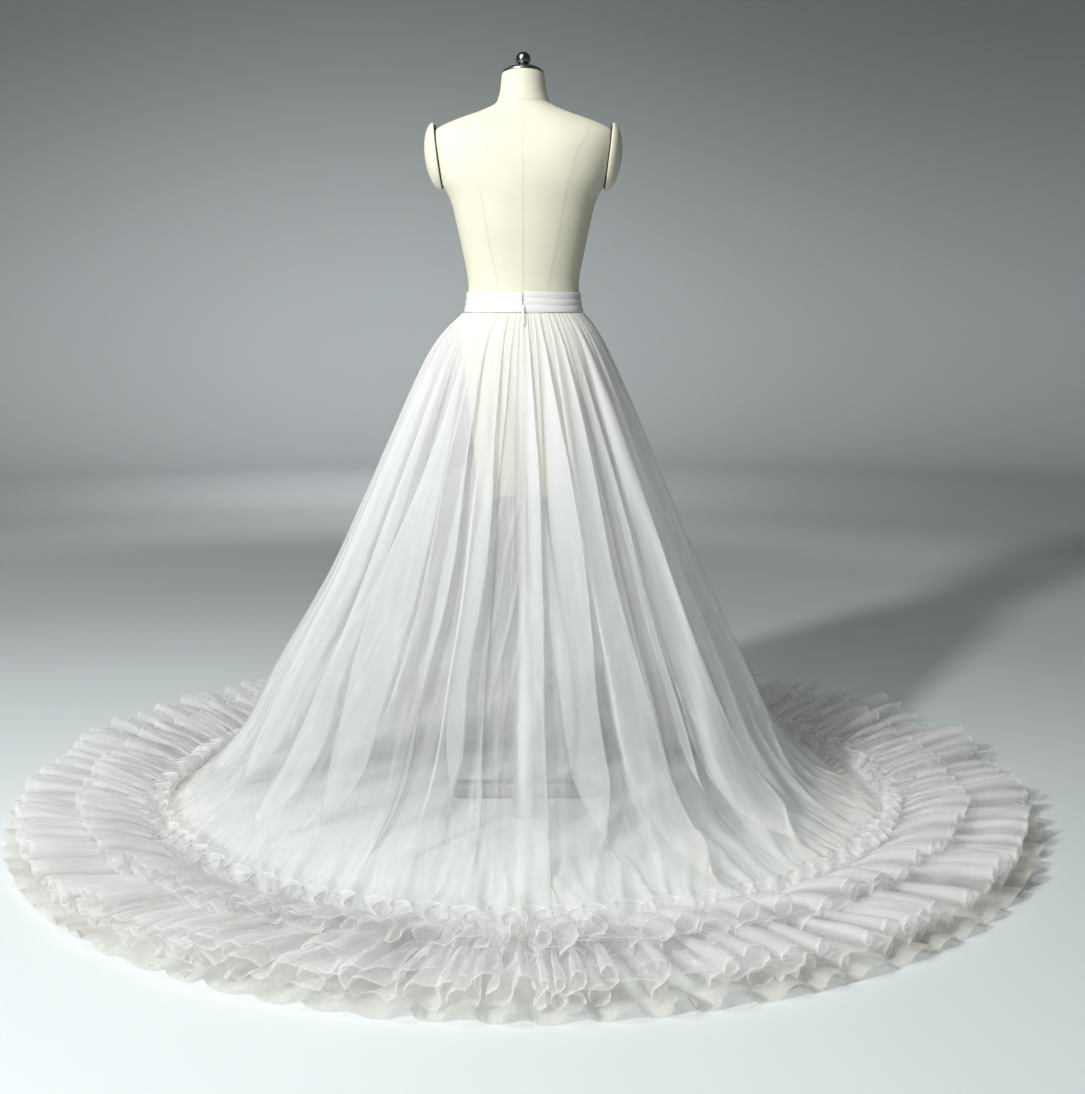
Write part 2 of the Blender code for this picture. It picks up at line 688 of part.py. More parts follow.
clear_scene()
PART = make_collection("tulle_skirt_on_dress_form")
CUTTERS = make_collection("cutters")
make_torso()
make_plate("armhole_plate_left", -1)
make_plate("armhole_plate_right", 1)
make_cap("form_cap_left", -1)
make_cap("form_cap_right", 1)
make_neck()
make_stand()
make_waistband()
make_panel("skirt_back_left", BACK_LEFT_FOLDS)
make_panel("skirt_back_right", BACK_RIGHT_FOLDS)
make_panel("skirt_front", FRONT_FOLDS)
make_tier("ruffle_middle", MIDDLE_TIER, MIDDLE_WAVES)
make_tier("ruffle_upper", UPPER_TIER, UPPER_WAVES)
make_heading()
make_zip()
make_slider()
make_pull()
make_hook()
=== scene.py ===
import math

import bmesh
import bpy
import numpy as np
from mathutils import Matrix, Vector, noise


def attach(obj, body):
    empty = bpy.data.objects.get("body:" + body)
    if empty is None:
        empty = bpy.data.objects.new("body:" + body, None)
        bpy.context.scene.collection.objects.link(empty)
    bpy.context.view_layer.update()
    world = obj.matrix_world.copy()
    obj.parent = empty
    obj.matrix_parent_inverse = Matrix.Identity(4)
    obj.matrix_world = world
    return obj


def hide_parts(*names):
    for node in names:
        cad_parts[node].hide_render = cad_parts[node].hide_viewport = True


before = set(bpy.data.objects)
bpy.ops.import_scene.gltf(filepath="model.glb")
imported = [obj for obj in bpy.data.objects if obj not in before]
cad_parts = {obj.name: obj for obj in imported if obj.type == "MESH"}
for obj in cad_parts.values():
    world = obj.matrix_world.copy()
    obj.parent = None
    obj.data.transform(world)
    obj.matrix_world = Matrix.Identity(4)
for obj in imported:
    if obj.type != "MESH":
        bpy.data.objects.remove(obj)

noise.seed_set(1)  # noise_vector starts from the clock without it
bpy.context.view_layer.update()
mm = 0.001
fullTurn = 2 * math.pi
up = Vector((0, 0, 1))


def colour(code):  # sRGB hex to linear
    parts = [int(code[i:i + 2], 16) / 255 for i in (0, 2, 4)]
    return (*(p / 12.92 if p <= 0.04045 else ((p + 0.055) / 1.055) ** 2.4 for p in parts), 1)


def addNode(tree, kind, sockets, **settings):
    # a shader node with its settings, values and links; a node given as a value stands for its first output
    node = tree.nodes.new("ShaderNode" + kind)
    for name, value in settings.items():
        setattr(node, name, value)
    for name, value in sockets.items():
        if isinstance(value, bpy.types.Node):
            value = value.outputs[0]
        if isinstance(value, bpy.types.NodeSocket):
            tree.links.new(value, node.inputs[name])
        else:
            node.inputs[name].default_value = value
    return node


def blankMaterial(name):
    material = bpy.data.materials.new(name)
    material.use_nodes = True
    material.node_tree.nodes.clear()
    return material, material.node_tree


def finishMaterial(material, shader):
    addNode(material.node_tree, "OutputMaterial", {"Surface": shader})
    return material


def addObject(name, data):
    thing = bpy.data.objects.new(name, data)
    bpy.context.scene.collection.objects.link(thing)
    return thing


def grainOf(tree, sizes, detail):  # uneven grain on Object coordinates, its sizes along X, Y and Z in mm
    place = addNode(tree, "TexCoord", {})
    stretch = addNode(tree, "Mapping", {
        "Vector": place.outputs["Object"], "Scale": [1 / (size * mm) for size in sizes],
    })
    grain = addNode(tree, "TexNoise", {"Vector": stretch, "Scale": 1.0, "Detail": detail})
    return grain


def hashed(*numbers):  # a repeatable number from 0 to 1 for a fold, flute or place
    value = math.sin(sum(n * w for n, w in zip(numbers, (12.9898, 78.233, 37.719)))) * 43758.5453
    return value - math.floor(value)


def ripple(*place):  # smooth noise at a place, from about -1 to 1
    return noise.noise(Vector(place))


def outAt(angle):  # away from the pole; 0 is the centre back, and angles grow towards +X
    return Vector((math.sin(angle), -math.cos(angle), 0))


def asideAt(angle):  # along the ring, towards growing angles
    return Vector((math.cos(angle), math.sin(angle), 0))


def smooth(low, high, value):
    share = min(max((value - low) / (high - low), 0), 1)
    return share * share * (3 - 2 * share)


def faceOut(shape):  # turns the faces' normals outwards
    bmesh.ops.recalc_face_normals(shape, faces=shape.faces)


def smoothMesh(name, shape, material):
    mesh = bpy.data.meshes.new(name)
    shape.to_mesh(mesh)
    shape.free()
    mesh.shade_smooth()
    mesh.materials.append(material)
    return mesh


def makePiece(name, shape, material, body="root", replaced=()):
    piece = addObject(name, smoothMesh(name, shape, material))
    if replaced:
        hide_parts(*replaced)
    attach(piece, body)
    print(name, "made")
    return piece


def movedGrid(columns, rows, place, flat, closed=False):
    # a grid whose vertices go where place says; row 0 is the top or inner edge,
    # and the UV map is in metres of flat cloth
    shape = bmesh.new()
    cloth = shape.loops.layers.uv.new("cloth")
    bmesh.ops.create_grid(shape, x_segments=columns, y_segments=rows, size=1, calc_uvs=True)
    shape.verts.index_update()
    for vertex in shape.verts:
        row, column = divmod(vertex.index, columns + 1)
        vertex.co = place(column, rows - row)
    for face in shape.faces:
        for loop in face.loops:
            spot = loop[cloth].uv
            loop[cloth].uv = (spot.x * flat[0], (1 - spot.y) * flat[1])
    if closed:
        bmesh.ops.remove_doubles(shape, verts=shape.verts, dist=0.01 * mm)
    return shape


def turnedShape(profile, apart):  # a list of radius and height, spun round Z
    shape = bmesh.new()
    points = [shape.verts.new((r, 0, h)) for r, h in profile]
    for a, b in zip(points, points[1:]):
        shape.edges.new((a, b))
    bmesh.ops.spin(
        shape, geom=shape.verts[:] + shape.edges[:], axis=up, cent=(0, 0, 0), angle=fullTurn, steps=96,
        use_merge=True,
    )
    bmesh.ops.remove_doubles(shape, verts=shape.verts, dist=apart)
    faceOut(shape)
    return shape


def curveAlong(table, counts):
    # rows of a table with extra ones between them, on a smooth curve through the table's own rows
    knots = [0.0]
    for a, b in zip(table, table[1:]):
        knots.append(knots[-1] + max(math.hypot(b[0] - a[0], b[3] - a[3]), 1e-4))
    slopes = []
    for i in range(len(table)):
        before, after = max(i - 1, 0), min(i + 1, len(table) - 1)
        slopes.append([(b - a) / (knots[after] - knots[before]) for a, b in zip(table[before], table[after])])
    rows = []
    for i, count in enumerate(counts):
        span = knots[i + 1] - knots[i]
        for step in range(count):
            t = step / count
            h00, h10 = 2 * t ** 3 - 3 * t ** 2 + 1, t ** 3 - 2 * t ** 2 + t
            h01, h11 = 3 * t ** 2 - 2 * t ** 3, t ** 3 - t ** 2
            rows.append([
                h00 * a + h10 * span * m + h01 * b + h11 * span * n
                for a, m, b, n in zip(table[i], slopes[i], table[i + 1], slopes[i + 1])
            ])
    rows.append(list(table[-1]))
    return rows


studio = {
    "floorRadius": 6.6,  # flat part
    "coveRadius": 1.2,
    "wallTop": 5.0,
    "paintedPoolCentre": (-0.5, -0.6, 0),
    # the paper's tone at these distances (m) from that place, with painted light and shade: a painted pool of
    # light underfoot, grey further back, and painted brightening where less lamp light reaches
    "paperTonesAndPaintedLight": [
        (1.6, "DEE5E5"), (2.9, "D6DBDB"), (3.6, "DEE2E2"), (4.3, "F0F4F4"), (5.2, "D6DADA"), (6.4, "CED3D3"),
        (7.2, "CACFCF"),
    ],
    # painted shade: the wall's paper darkens upwards, where the lamps' light falls off
    "paintedShadeTone": "8C9090",  # the wall darkens upwards
    "paintedShadeFrom": 0.4,
    "paintedShadeTo": 3.3,
    # place, where it points, width (m), power (W) and tint
    "lights": {
        "key": ((-3.3, -4.6, 3.3), (0, -0.1, 0.5), 0.5, 334, "FCFCFD"),
        "top": ((-1.2, -1.5, 3.5), (-0.1, -0.3, 0), 2.4, 74, "FCFCFC"),
        "wall": ((-0.8, 4.7, 2.3), (-0.8, 7.6, 0.5), 1.4, 40, "FCFEFF"),
    },
    "air": "BFC4C6",
    "airPower": 0.09,
}


def paperMaterial():
    # matt seamless paper, no gloss, with painted light and shade: a painted pool of light underfoot, grey
    # where the backdrop starts, and painted shade darkening the wall upwards
    material, tree = blankMaterial("seamlessPaper")
    place = addNode(tree, "TexCoord", {})
    flat = addNode(tree, "VectorMath", {0: place.outputs["Object"], 1: (1, 1, 0)}, operation="MULTIPLY")
    away = addNode(tree, "VectorMath", {0: flat, 1: studio["paintedPoolCentre"]}, operation="DISTANCE")
    # painted light: the ramp paints the lamps' pool of light and its falloff into the paper's colour
    reach = studio["paperTonesAndPaintedLight"][-1][0]
    share = addNode(tree, "Math", {0: away.outputs["Value"], 1: reach}, operation="DIVIDE", use_clamp=True)
    tone = addNode(tree, "ValToRGB", {"Fac": share})
    tone.color_ramp.interpolation = "EASE"
    stops = tone.color_ramp.elements
    while len(stops) < len(studio["paperTonesAndPaintedLight"]):
        stops.new(1.0)
    for stop, (distance, code) in zip(stops, studio["paperTonesAndPaintedLight"]):
        stop.position = distance / reach
        stop.color = colour(code)
    # painted shade: the paper's tone darkens with height up the wall
    height = addNode(tree, "SeparateXYZ", {0: place.outputs["Object"]})
    high = addNode(tree, "MapRange", {
        "Value": height.outputs["Z"], "From Min": studio["paintedShadeFrom"], "From Max": studio["paintedShadeTo"],
    }, interpolation_type="SMOOTHSTEP")
    tone = addNode(tree, "Mix", {
        0: high, 6: tone.outputs["Color"], 7: colour(studio["paintedShadeTone"]),
    }, data_type="RGBA")
    shader = addNode(tree, "BsdfPrincipled", {
        "Base Color": tone.outputs[2], "Roughness": 0.9, "Specular IOR Level": 0.1,
    })
    return finishMaterial(material, shader)


def makeFloor():
    edge = studio["floorRadius"]
    bend = studio["coveRadius"]
    profile = [(0, 0), (edge / 2, 0), (edge, 0)]
    for step in range(1, 9):
        turn = math.pi / 2 * step / 8
        profile.append((edge + bend * math.sin(turn), bend * (1 - math.cos(turn))))
    profile.append((edge + bend, studio["wallTop"]))
    sweep = smoothMesh("studioFloor", turnedShape(profile, 1 * mm), paperMaterial())
    addObject("studioFloor", sweep)


def areaLight(name, place, target, size, power, tint):
    data = bpy.data.lights.new(name, "AREA")
    data.shape = "DISK"
    data.size = size
    data.energy = power
    data.color = colour(tint)[:3]
    light = addObject(name, data)
    light.location = place
    light.rotation_euler = (Vector(target) - Vector(place)).to_track_quat("-Z", "Y").to_euler()
    light.visible_camera = False


def makeLights():
    for name, light in studio["lights"].items():
        areaLight(name, *light)
    world = bpy.data.worlds.new("studio")
    bpy.context.scene.world = world
    world.use_nodes = True
    air = world.node_tree.nodes["Background"]
    air.inputs["Color"].default_value = colour(studio["air"])
    air.inputs["Strength"].default_value = studio["airPower"]
    bpy.context.scene.view_settings.view_transform = "Standard"
    cycles = bpy.context.scene.cycles
    cycles.transparent_max_bounces = 14  # as many plies of net as a ray may pass
    cycles.diffuse_bounces = 3
    cycles.use_light_tree = False  # three lights need no tree, and the net renders faster without it
    cycles.light_sampling_threshold = 0.05


view = {"place": (0.038, -3.105, 1.04), "down": 9.23, "lens": 50}  # m, degrees and mm


def makeCamera():
    data = bpy.data.cameras.new("camera")
    data.lens = view["lens"]
    camera = addObject("camera", data)
    camera.location = view["place"]
    camera.rotation_euler = (math.radians(90 - view["down"]), 0, 0)
    bpy.context.scene.camera = camera


def tulleMaterial(name, look):
    # nylon tulle: fine monofilament, warp-knitted into a hexagonal net. Sheer and matt, with a little light
    # let through. The net's own 1 mm holes are too fine to show, so they are drawn at look["net"] millimetres
    material, tree = blankMaterial(name)
    cover = addNode(tree, "Attribute", {}, attribute_name="cover")
    place = addNode(tree, "UVMap", {}, uv_map="cloth")
    pitch = fullTurn / (look["net"] * mm)
    across = [addNode(tree, "VectorMath", {
        0: place, 1: (pitch * math.cos(turn), pitch * math.sin(turn), 0),
    }, operation="DOT_PRODUCT") for turn in (0, math.pi / 3, -math.pi / 3)]
    rows = addNode(tree, "CombineXYZ", {i: row.outputs["Value"] for i, row in enumerate(across)})
    waves = addNode(tree, "VectorMath", {0: rows}, operation="COSINE")
    net = addNode(tree, "VectorMath", {0: waves, 1: (1, 1, 1)}, operation="DOT_PRODUCT")
    thread = addNode(tree, "MapRange", {
        "Value": net.outputs["Value"], "From Min": -1.5, "From Max": 1.5, "To Min": 1.0 + look["netDepth"],
        "To Max": 1.0 - look["netDepth"],
    })
    alpha = addNode(tree, "Math", {0: cover.outputs["Fac"], 1: thread}, operation="MULTIPLY", use_clamp=True)
    tone = addNode(tree, "Mix", {
        0: cover.outputs["Fac"], 6: colour(look["thin"]), 7: colour(look["dense"]),
    }, data_type="RGBA")
    # painted shade: the last tone darkens the hem, where the ruffle tiers above shadow it; the first warms
    # the cloth lying on the floor
    if "lying" in look:  # warmer where the cloth lies on the floor, and darker at the hem
        fall = addNode(tree, "SeparateXYZ", {0: place})
        for code, low, high in look["lying"]:
            share = addNode(tree, "MapRange", {
                "Value": fall.outputs["Y"], "From Min": low, "From Max": high,
            })
            tone = addNode(tree, "Mix", {
                0: share, 6: tone.outputs[2], 7: colour(code),
            }, data_type="RGBA")
    front = addNode(tree, "BsdfDiffuse", {"Color": tone.outputs[2]})
    through = addNode(tree, "BsdfTranslucent", {"Color": tone.outputs[2]})
    thread = addNode(tree, "MixShader", {0: look["through"], 1: front, 2: through})
    holes = addNode(tree, "BsdfTransparent", {})
    shader = addNode(tree, "MixShader", {0: alpha, 1: holes, 2: thread})
    return finishMaterial(material, shader)


def setCover(piece, values):  # how much of the view each vertex's cloth covers, from 0 to 1
    layer = piece.data.attributes.new("cover", "FLOAT", "POINT")
    layer.data.foreach_set("value", values)


def coverOf(shape, base, plies, outwards, slant):
    # a net seen along its own surface shows more thread, so a fold's turns and flanks cover more
    shape.normal_update()
    edgeOn = 0.13
    values = []
    for vertex in shape.verts:
        facing = max(abs(vertex.normal.dot(outwards(vertex))), edgeOn) ** slant
        values.append(1 - (1 - base) ** (plies(vertex) / facing))
    return values


skirt = {
    # height, left, right, back and front (m), fold depth (mm), reach of the overlaps (share), lift (degrees)
    # and gather (mm)
    "levels": [
        (1.0143, 0.1225, 0.1225, 0.0850, 0.0925, 1.2, 0.03, 0, 0.9),
        (0.978, 0.159, 0.149, 0.110, 0.110, 3.5, 0.14, 0, 1.5),
        (0.930, 0.192, 0.174, 0.138, 0.126, 6.5, 0.28, 0, 1.5),
        (0.815, 0.245, 0.223, 0.178, 0.144, 16.0, 0.52, 0, 1.0),
        (0.480, 0.398, 0.361, 0.282, 0.180, 30.0, 1.00, 0, 0),
        (0.300, 0.500, 0.446, 0.350, 0.196, 40.0, 1.12, 2, 0),
        (0.150, 0.578, 0.520, 0.412, 0.222, 48.0, 1.25, 14, 0),
        (0.052, 0.662, 0.610, 0.484, 0.270, 42.0, 1.30, 45, 0),
        (0.004, 0.712, 0.678, 0.570, 0.380, 26.0, 1.10, 84, 0),
        (0.000, 0.728, 0.716, 0.668, 0.600, 12.0, 0.50, 90, 0),
        (0.000, 0.735, 0.735, 0.735, 0.735, 1.0, 0.04, 90, 0),
        (0.000, 1.013, 1.013, 1.013, 1.013, 0.0, 0, 90, 0),
        (0.000, 1.045, 1.045, 1.045, 1.045, 2.5, 0, 90, 0),
    ],
    "rows": [6, 6, 10, 30, 18, 13, 10, 12, 14, 10, 8, 8],
    "columnStep": math.radians(0.42),
    "gathers": 108,
    "lie": 2.2,  # mm of the train above the floor
    "drift": 2.2,  # degrees that a fold wanders on its way down
    "loose": 0.35,  # unevenness of the folds' depth
    "hemLobes": 77,
    "hemFrom": 0.93,  # m from the pole
    "hemSway": 7.0,  # mm
    "hemRise": 15.0,
    "crumple": (0.5, 2.2),  # mm at the waist, and more towards the hem
    "plainCover": 0.21,  # share of the view that one ply covers
    "coverSlant": 0.42,
    # plies that show at a fold's edge, on a crease or drag line, where the cloth lies and at a seam's edges
    "foldPlies": 1.7,
    "creasePlies": 1.1,
    "dragPlies": 2.0,
    "lyingPlies": 1.5,
    "seamPlies": (2.5, 1.2),
}
# drag lines left of the centre-back seam: their patch (m across and up), height (mm), spacing (m) and slope
pucker = {"across": (-0.085, 0.004), "up": (0.12, 0.78), "high": 6.0, "pitch": 0.13, "slope": 4.0}
# creases of the train: height (mm), width of the broad and the fine ones (m), radius of the gathered line (m)
wrinkle = {"high": 17.0, "broad": 0.060, "fine": 0.026, "line": 0.742, "pulled": 6.0}

# the folds, one row each: angle of the middle in degrees (0 is the centre back, growing towards +X), half
# width of the turned-back part in degrees, reach of the overlap in mm, depth against the level's, the side
# that lies on top (1 is the side towards growing angles), and how far down the cloth its tongue ends (share
# of the way)
folds = [
    (-89, 2.8, 20, 0.8, -1, 0.71), (-83, 1.3, 9, 0.4, -1, 0.66), (-77, 2.0, 12, 0.5, -1, 0.65),
    (-71, 1.2, 10, 0.4, -1, 0.72), (-65, 3.0, 38, 1.0, -1, 0.67), (-58, 1.3, 12, 0.5, -1, 0.62),
    (-51, 2.2, 22, 0.7, -1, 0.73), (-44.5, 1.2, 11, 0.4, 1, 0.66), (-37, 3.0, 46, 1.1, -1, 0.69),
    (-30, 1.3, 14, 0.5, -1, 0.62), (-24, 2.0, 22, 0.6, 1, 0.75), (-18.5, 1.1, 10, 0.4, -1, 0.68),
    (-13, 2.2, 30, 1.0, 1, 0.65), (-7, 1.1, 11, 0.4, 1, 0.71), (4.5, 1.8, 24, 0.8, 1, 0.81),
    (9.6, 1.0, 9, 0.4, 1, 0.64), (15, 2.1, 29, 1.0, 1, 0.69), (21.5, 1.2, 12, 0.5, -1, 0.74),
    (29, 2.6, 38, 1.1, 1, 0.83), (35, 1.1, 10, 0.4, 1, 0.66), (40, 1.8, 18, 0.5, 1, 0.65),
    (45, 1.1, 10, 0.4, -1, 0.70), (50, 2.6, 34, 1.0, 1, 0.77), (56.5, 1.2, 12, 0.5, 1, 0.63),
    (62, 2.0, 18, 0.6, 1, 0.69), (68, 1.1, 9, 0.4, 1, 0.74), (74, 2.4, 30, 0.9, 1, 0.65),
    (82, 1.3, 11, 0.5, 1, 0.70), (90, 2.8, 20, 0.8, 1, 0.71), (97, 1.3, 11, 0.4, 1, 0.66),
    (104, 2.6, 34, 1.0, 1, 0.75), (112, 1.2, 12, 0.5, -1, 0.68), (119, 2.4, 30, 0.9, 1, 0.65),
    (125, 1.2, 10, 0.4, 1, 0.72), (131, 2.0, 14, 0.6, 1, 0.71), (138, 1.3, 12, 0.5, 1, 0.64),
    (144, 2.8, 40, 1.0, 1, 0.79), (152, 1.2, 11, 0.4, -1, 0.70), (159, 2.4, 26, 0.8, 1, 0.67),
    (166, 1.1, 10, 0.4, 1, 0.73), (172, 2.0, 16, 0.6, -1, 0.71), (178, 1.2, 11, 0.5, 1, 0.66),
    (184, 2.6, 36, 1.0, -1, 0.77), (192, 1.3, 12, 0.5, -1, 0.69), (199, 2.2, 20, 0.7, -1, 0.67),
    (206, 1.2, 10, 0.4, 1, 0.72), (213, 2.8, 38, 1.0, -1, 0.73), (221, 1.2, 11, 0.5, -1, 0.65),
    (228, 2.2, 18, 0.7, -1, 0.79), (235, 1.2, 10, 0.4, -1, 0.70), (242, 2.6, 34, 1.0, -1, 0.67),
    (250, 1.3, 12, 0.5, 1, 0.72), (257, 2.4, 26, 0.8, -1, 0.75), (264, 1.2, 10, 0.4, -1, 0.68),
]


def outline(level, angle):  # the skirt's own outline at one level, without its folds
    height, left, right, back, front = level[:5]
    across = right if math.sin(angle) > 0 else left
    deep = back if math.cos(angle) > 0 else front
    return Vector((across * math.sin(angle), -deep * math.cos(angle), max(height, 0)))


def overlap(table, angle, along):
    # how far the folds near a place carry it sideways (mm) and outwards (share of the fold depth)
    aside, out = 0.0, 0.0
    degrees = math.degrees(angle)
    for middle, wide, reach, depth, side, end in table:
        u = ((degrees - middle + 180) % 360 - 180) / wide
        if abs(u) < 6:
            loose = ripple(middle * 0.37, along * 4.5, 7)
            u += 0.9 * ripple(middle * 0.53, along * 3.2, 31) * smooth(0.1, 0.3, along)
            tongue = 1 - smooth(end - 0.13, end, along)
            aside -= 1.65 * reach * (1 + 0.6 * loose) * tongue * u * math.exp(-u * u / 2)
            crest = math.exp(-(side * u + 0.9) ** 2 / 1.3) - 0.4 * math.exp(-(side * u - 0.9) ** 2 / 1.3)
            out += depth * crest * (0.3 + 0.7 * tongue)
    return aside, out


def clothPoint(level, along, angle, table, inset=0.0, layer=1.0):
    # one point of a gathered panel: outline, overlapping folds, fine ridges, waist gathers and train wrinkles
    height, _, _, _, _, fold, share, lift, gather = level
    lift = math.radians(min(max(lift, 0), 90))
    ring = Vector((math.sin(angle), math.cos(angle), 0))
    hang = smooth(0.04, 0.35, along)
    away = 1 - math.exp(-(math.degrees(math.atan2(ring.x, ring.y)) / 5) ** 2)  # 0 at the centre-back seam
    drift = math.radians(skirt["drift"]) * noise.noise(ring * 4 + up * (along * 2.4 + layer)) * away * hang
    aside, out = overlap(table, angle + drift, along)
    if abs(ring.x) < 0.35 and ring.y > 0:
        aside -= overlap(table, 0, along)[0] * (1 - away)
    loose = 1 + skirt["loose"] * noise.noise(ring * 5 + up * (along * 2.6 + 11 * layer))
    outwards, sideways = outAt(angle), asideAt(angle)
    point = outline(level, angle) - outwards * inset * math.cos(lift)
    ridge = max(0.0, 1 - 4.5 * abs(noise.noise(ring * 15 + up * (along * 1.5 + 23 * layer)))) ** 2
    out += 0.12 * ridge * hang
    swell = fold * mm * loose
    point += outwards * swell * (out - 0.45) * math.cos(lift)
    point += sideways * aside * mm * share * loose * (1 - 0.25 * math.sin(lift))
    point.z += swell * max(out, 0) * 0.9 * math.sin(lift)
    if gather > 0:
        pull = noise.noise(ring * 14 + up * 3 * layer)
        point += outwards * gather * mm * math.cos(skirt["gathers"] * angle + 2.2 * pull) * (0.8 + 0.5 * pull)
    radius = math.hypot(point.x, point.y)
    if lift > 0.4:
        point.z += trainWrinkle(angle, radius, layer) * smooth(0.4, 1.4, lift)
    least, more = skirt["crumple"]
    crumple = noise.noise(Vector((point.x, point.y, point.z * 0.6)) * 17) * (least + more * along)
    point += outwards * crumple * mm * math.cos(lift)
    if ring.y > 0.9 and inPatch(point.x, height):
        point += outwards * puckers(point.x, point.z)
    if radius > skirt["hemFrom"]:
        phase = skirt["hemLobes"] * angle + 1.5 * noise.noise(ring * 9)
        rise = smooth(skirt["hemFrom"], 1.045, radius) * (0.75 + 0.8 * noise.noise(ring * 12 + up * 5))
        point += outwards * skirt["hemSway"] * mm * math.cos(phase) * rise
        point += sideways * skirt["hemSway"] * mm * math.sin(2 * phase) * rise
        point.z += skirt["hemRise"] * mm * (1 + math.cos(phase)) * rise
    return point


def inPatch(across, height):
    return pucker["across"][0] < across < pucker["across"][1] and pucker["up"][0] < height < pucker["up"][1]


def puckers(across, height):  # slanting drag lines left of the centre-back seam, where its stitches pull
    far, seam = pucker["across"]
    low, high = pucker["up"]
    phase = fullTurn * (height - pucker["slope"] * across) / pucker["pitch"]
    slant = math.sin(phase + 2.5 * ripple(across * 9, 0, height * 5))
    near = smooth(far, -0.03, across) * (1 - smooth(seam - 0.010, seam, across))
    patch = 0.5 + 0.8 * ripple(0, 3, height * 6)
    fade = smooth(low, 0.25, height) * (1 - smooth(0.6, high, height))
    return pucker["high"] * mm * max(slant, 0) ** 3 * near * max(patch, 0) * fade


def trainWrinkle(angle, radius, layer):  # creases that fan from the hanging folds to the gathered line
    side = angle * 0.7
    along = radius / 0.34 + layer
    long = ripple(side / wrinkle["broad"], along, 4)
    long += 0.4 * ripple(side / wrinkle["fine"], along * 1.6, 9)
    crease = max(0.0, 1 - 2.6 * abs(long)) ** 1.6
    swell = 0.5 + ripple(side / 0.11, along * 1.3, 15)
    pulled = math.exp(-max(wrinkle["line"] - radius, 0) / 0.05) if radius < 0.76 else 0
    tight = (1 + math.sin(170 * angle + 5 * ripple(side * 6, 0, 2))) / 2
    broad = wrinkle["high"] * (crease + max(swell, 0)) * smooth(0.34, 0.5, radius)
    broad *= 1 - smooth(0.70, 0.755, radius)
    return (broad + wrinkle["pulled"] * pulled * tight) * mm


def makePanel(name, node, start, end, material, flat):
    levels = curveAlong(skirt["levels"], skirt["rows"])
    last = len(levels) - 1
    count = round(math.radians(end - start) / skirt["columnStep"])
    angles = [math.radians(start) + math.radians(end - start) * k / count for k in range(count + 1)]

    def place(column, row):
        level = levels[row]
        point = clothPoint(level, row / last, angles[column], folds)
        point.z = max(point.z, 0) + skirt["lie"] * mm * smooth(40, 90, level[7])
        return point + seamShift(angles[column], column, count, level[0])

    shape = movedGrid(count, last, place, flat)
    evenWidth(shape, count, last, flat)

    def spotOf(vertex):
        row, column = divmod(vertex.index, count + 1)
        return last - row, column

    def outwards(vertex):
        row, column = spotOf(vertex)
        above = outline(levels[max(row - 1, 0)], angles[column])
        below = outline(levels[min(row + 1, last)], angles[column])
        return asideAt(angles[column]).cross(above - below).normalized()

    shape.verts.ensure_lookup_table()

    def plies(vertex):
        row, column = spotOf(vertex)
        angle, along = angles[column], row / last
        before = shape.verts[vertex.index - (column > 0)].co
        after = shape.verts[vertex.index + (column < count)].co
        span = (after - before).dot(asideAt(angle))
        plain = 2 * skirt["columnStep"] * math.hypot(vertex.co.x, vertex.co.y)
        line = ripple(angle * 19, along * 2.6 + angle * 2, 3)
        line += 0.3 * ripple(angle * 50, along * 6, 8)
        fresh = smooth(0.1, 0.3, along) * (1 - 0.6 * smooth(0.7, 0.8, along))
        total = gatheredPly(vertex.co.z)
        total += skirt["lyingPlies"] * (1 - smooth(0.01, 0.10, vertex.co.z))
        total += skirt["foldPlies"] * math.exp(-(span / plain / 0.45) ** 2) * smooth(0.12, 0.3, along)
        total += skirt["creasePlies"] * max(0.0, 1 - 9 * abs(line)) ** 2 * fresh
        if math.cos(angle) > 0.9 and inPatch(vertex.co.x, vertex.co.z):
            total += skirt["dragPlies"] * min(puckers(vertex.co.x, vertex.co.z) / (5 * mm), 1)
        seam = min(column, count - column)
        if seam < len(skirt["seamPlies"]):
            total += skirt["seamPlies"][seam]
        streak = 1 + 0.16 * ripple(column * 0.6, along * 5, 2)  # threads drawn together here and there
        return streak * total

    values = coverOf(shape, skirt["plainCover"], plies, outwards, skirt["coverSlant"])
    panel = makePiece(name, shape, material, replaced=(node,))
    setCover(panel, values)


def gatheredPly(height):  # the cloth is drawn together at the waist, so it is denser there
    drop = skirt["levels"][0][0] - height
    return 1 + 6.5 * math.exp(-drop / 0.20) + 1.5 * math.exp(-drop / 0.40)


def seamShift(angle, column, last, height):
    # panels stand 0.3 mm apart at their seams, and 1 mm beside the zip
    if column not in (0, last):
        return Vector((0, 0, 0))
    gap = 1.0 * mm if abs(math.sin(angle / 2)) < 0.01 and height > 0.815 else 0.3 * mm
    return asideAt(angle) * (gap / 2 if column == 0 else -gap / 2)


def evenWidth(shape, columns, rows, flat):
    # spaces the UV map across the cloth by the real width of each column, measured low on the skirt
    cloth = shape.loops.layers.uv["cloth"]
    shape.verts.ensure_lookup_table()
    first = (rows - round(rows * 0.52)) * (columns + 1)
    walked = [0.0]
    for k in range(columns):
        walked.append(walked[-1] + (shape.verts[first + k + 1].co - shape.verts[first + k].co).length)
    for face in shape.faces:
        for loop in face.loops:
            loop[cloth].uv.x = walked[loop.vert.index % (columns + 1)] / walked[-1] * flat[0]


underLayer = {
    "folds": 23,
    "inset": 16 * mm,
    "columns": 620,
    "rows": [4, 4, 7, 16, 10, 9, 8, 8, 9, 6],
    "flat": (7.0, 1.5),
    "area": 4.4,
    "cover": 0.10,
    "slant": 0.42,
    "lie": 1.0,  # mm
    "sink": 0.7,  # share of the outer layer's height above the floor
}


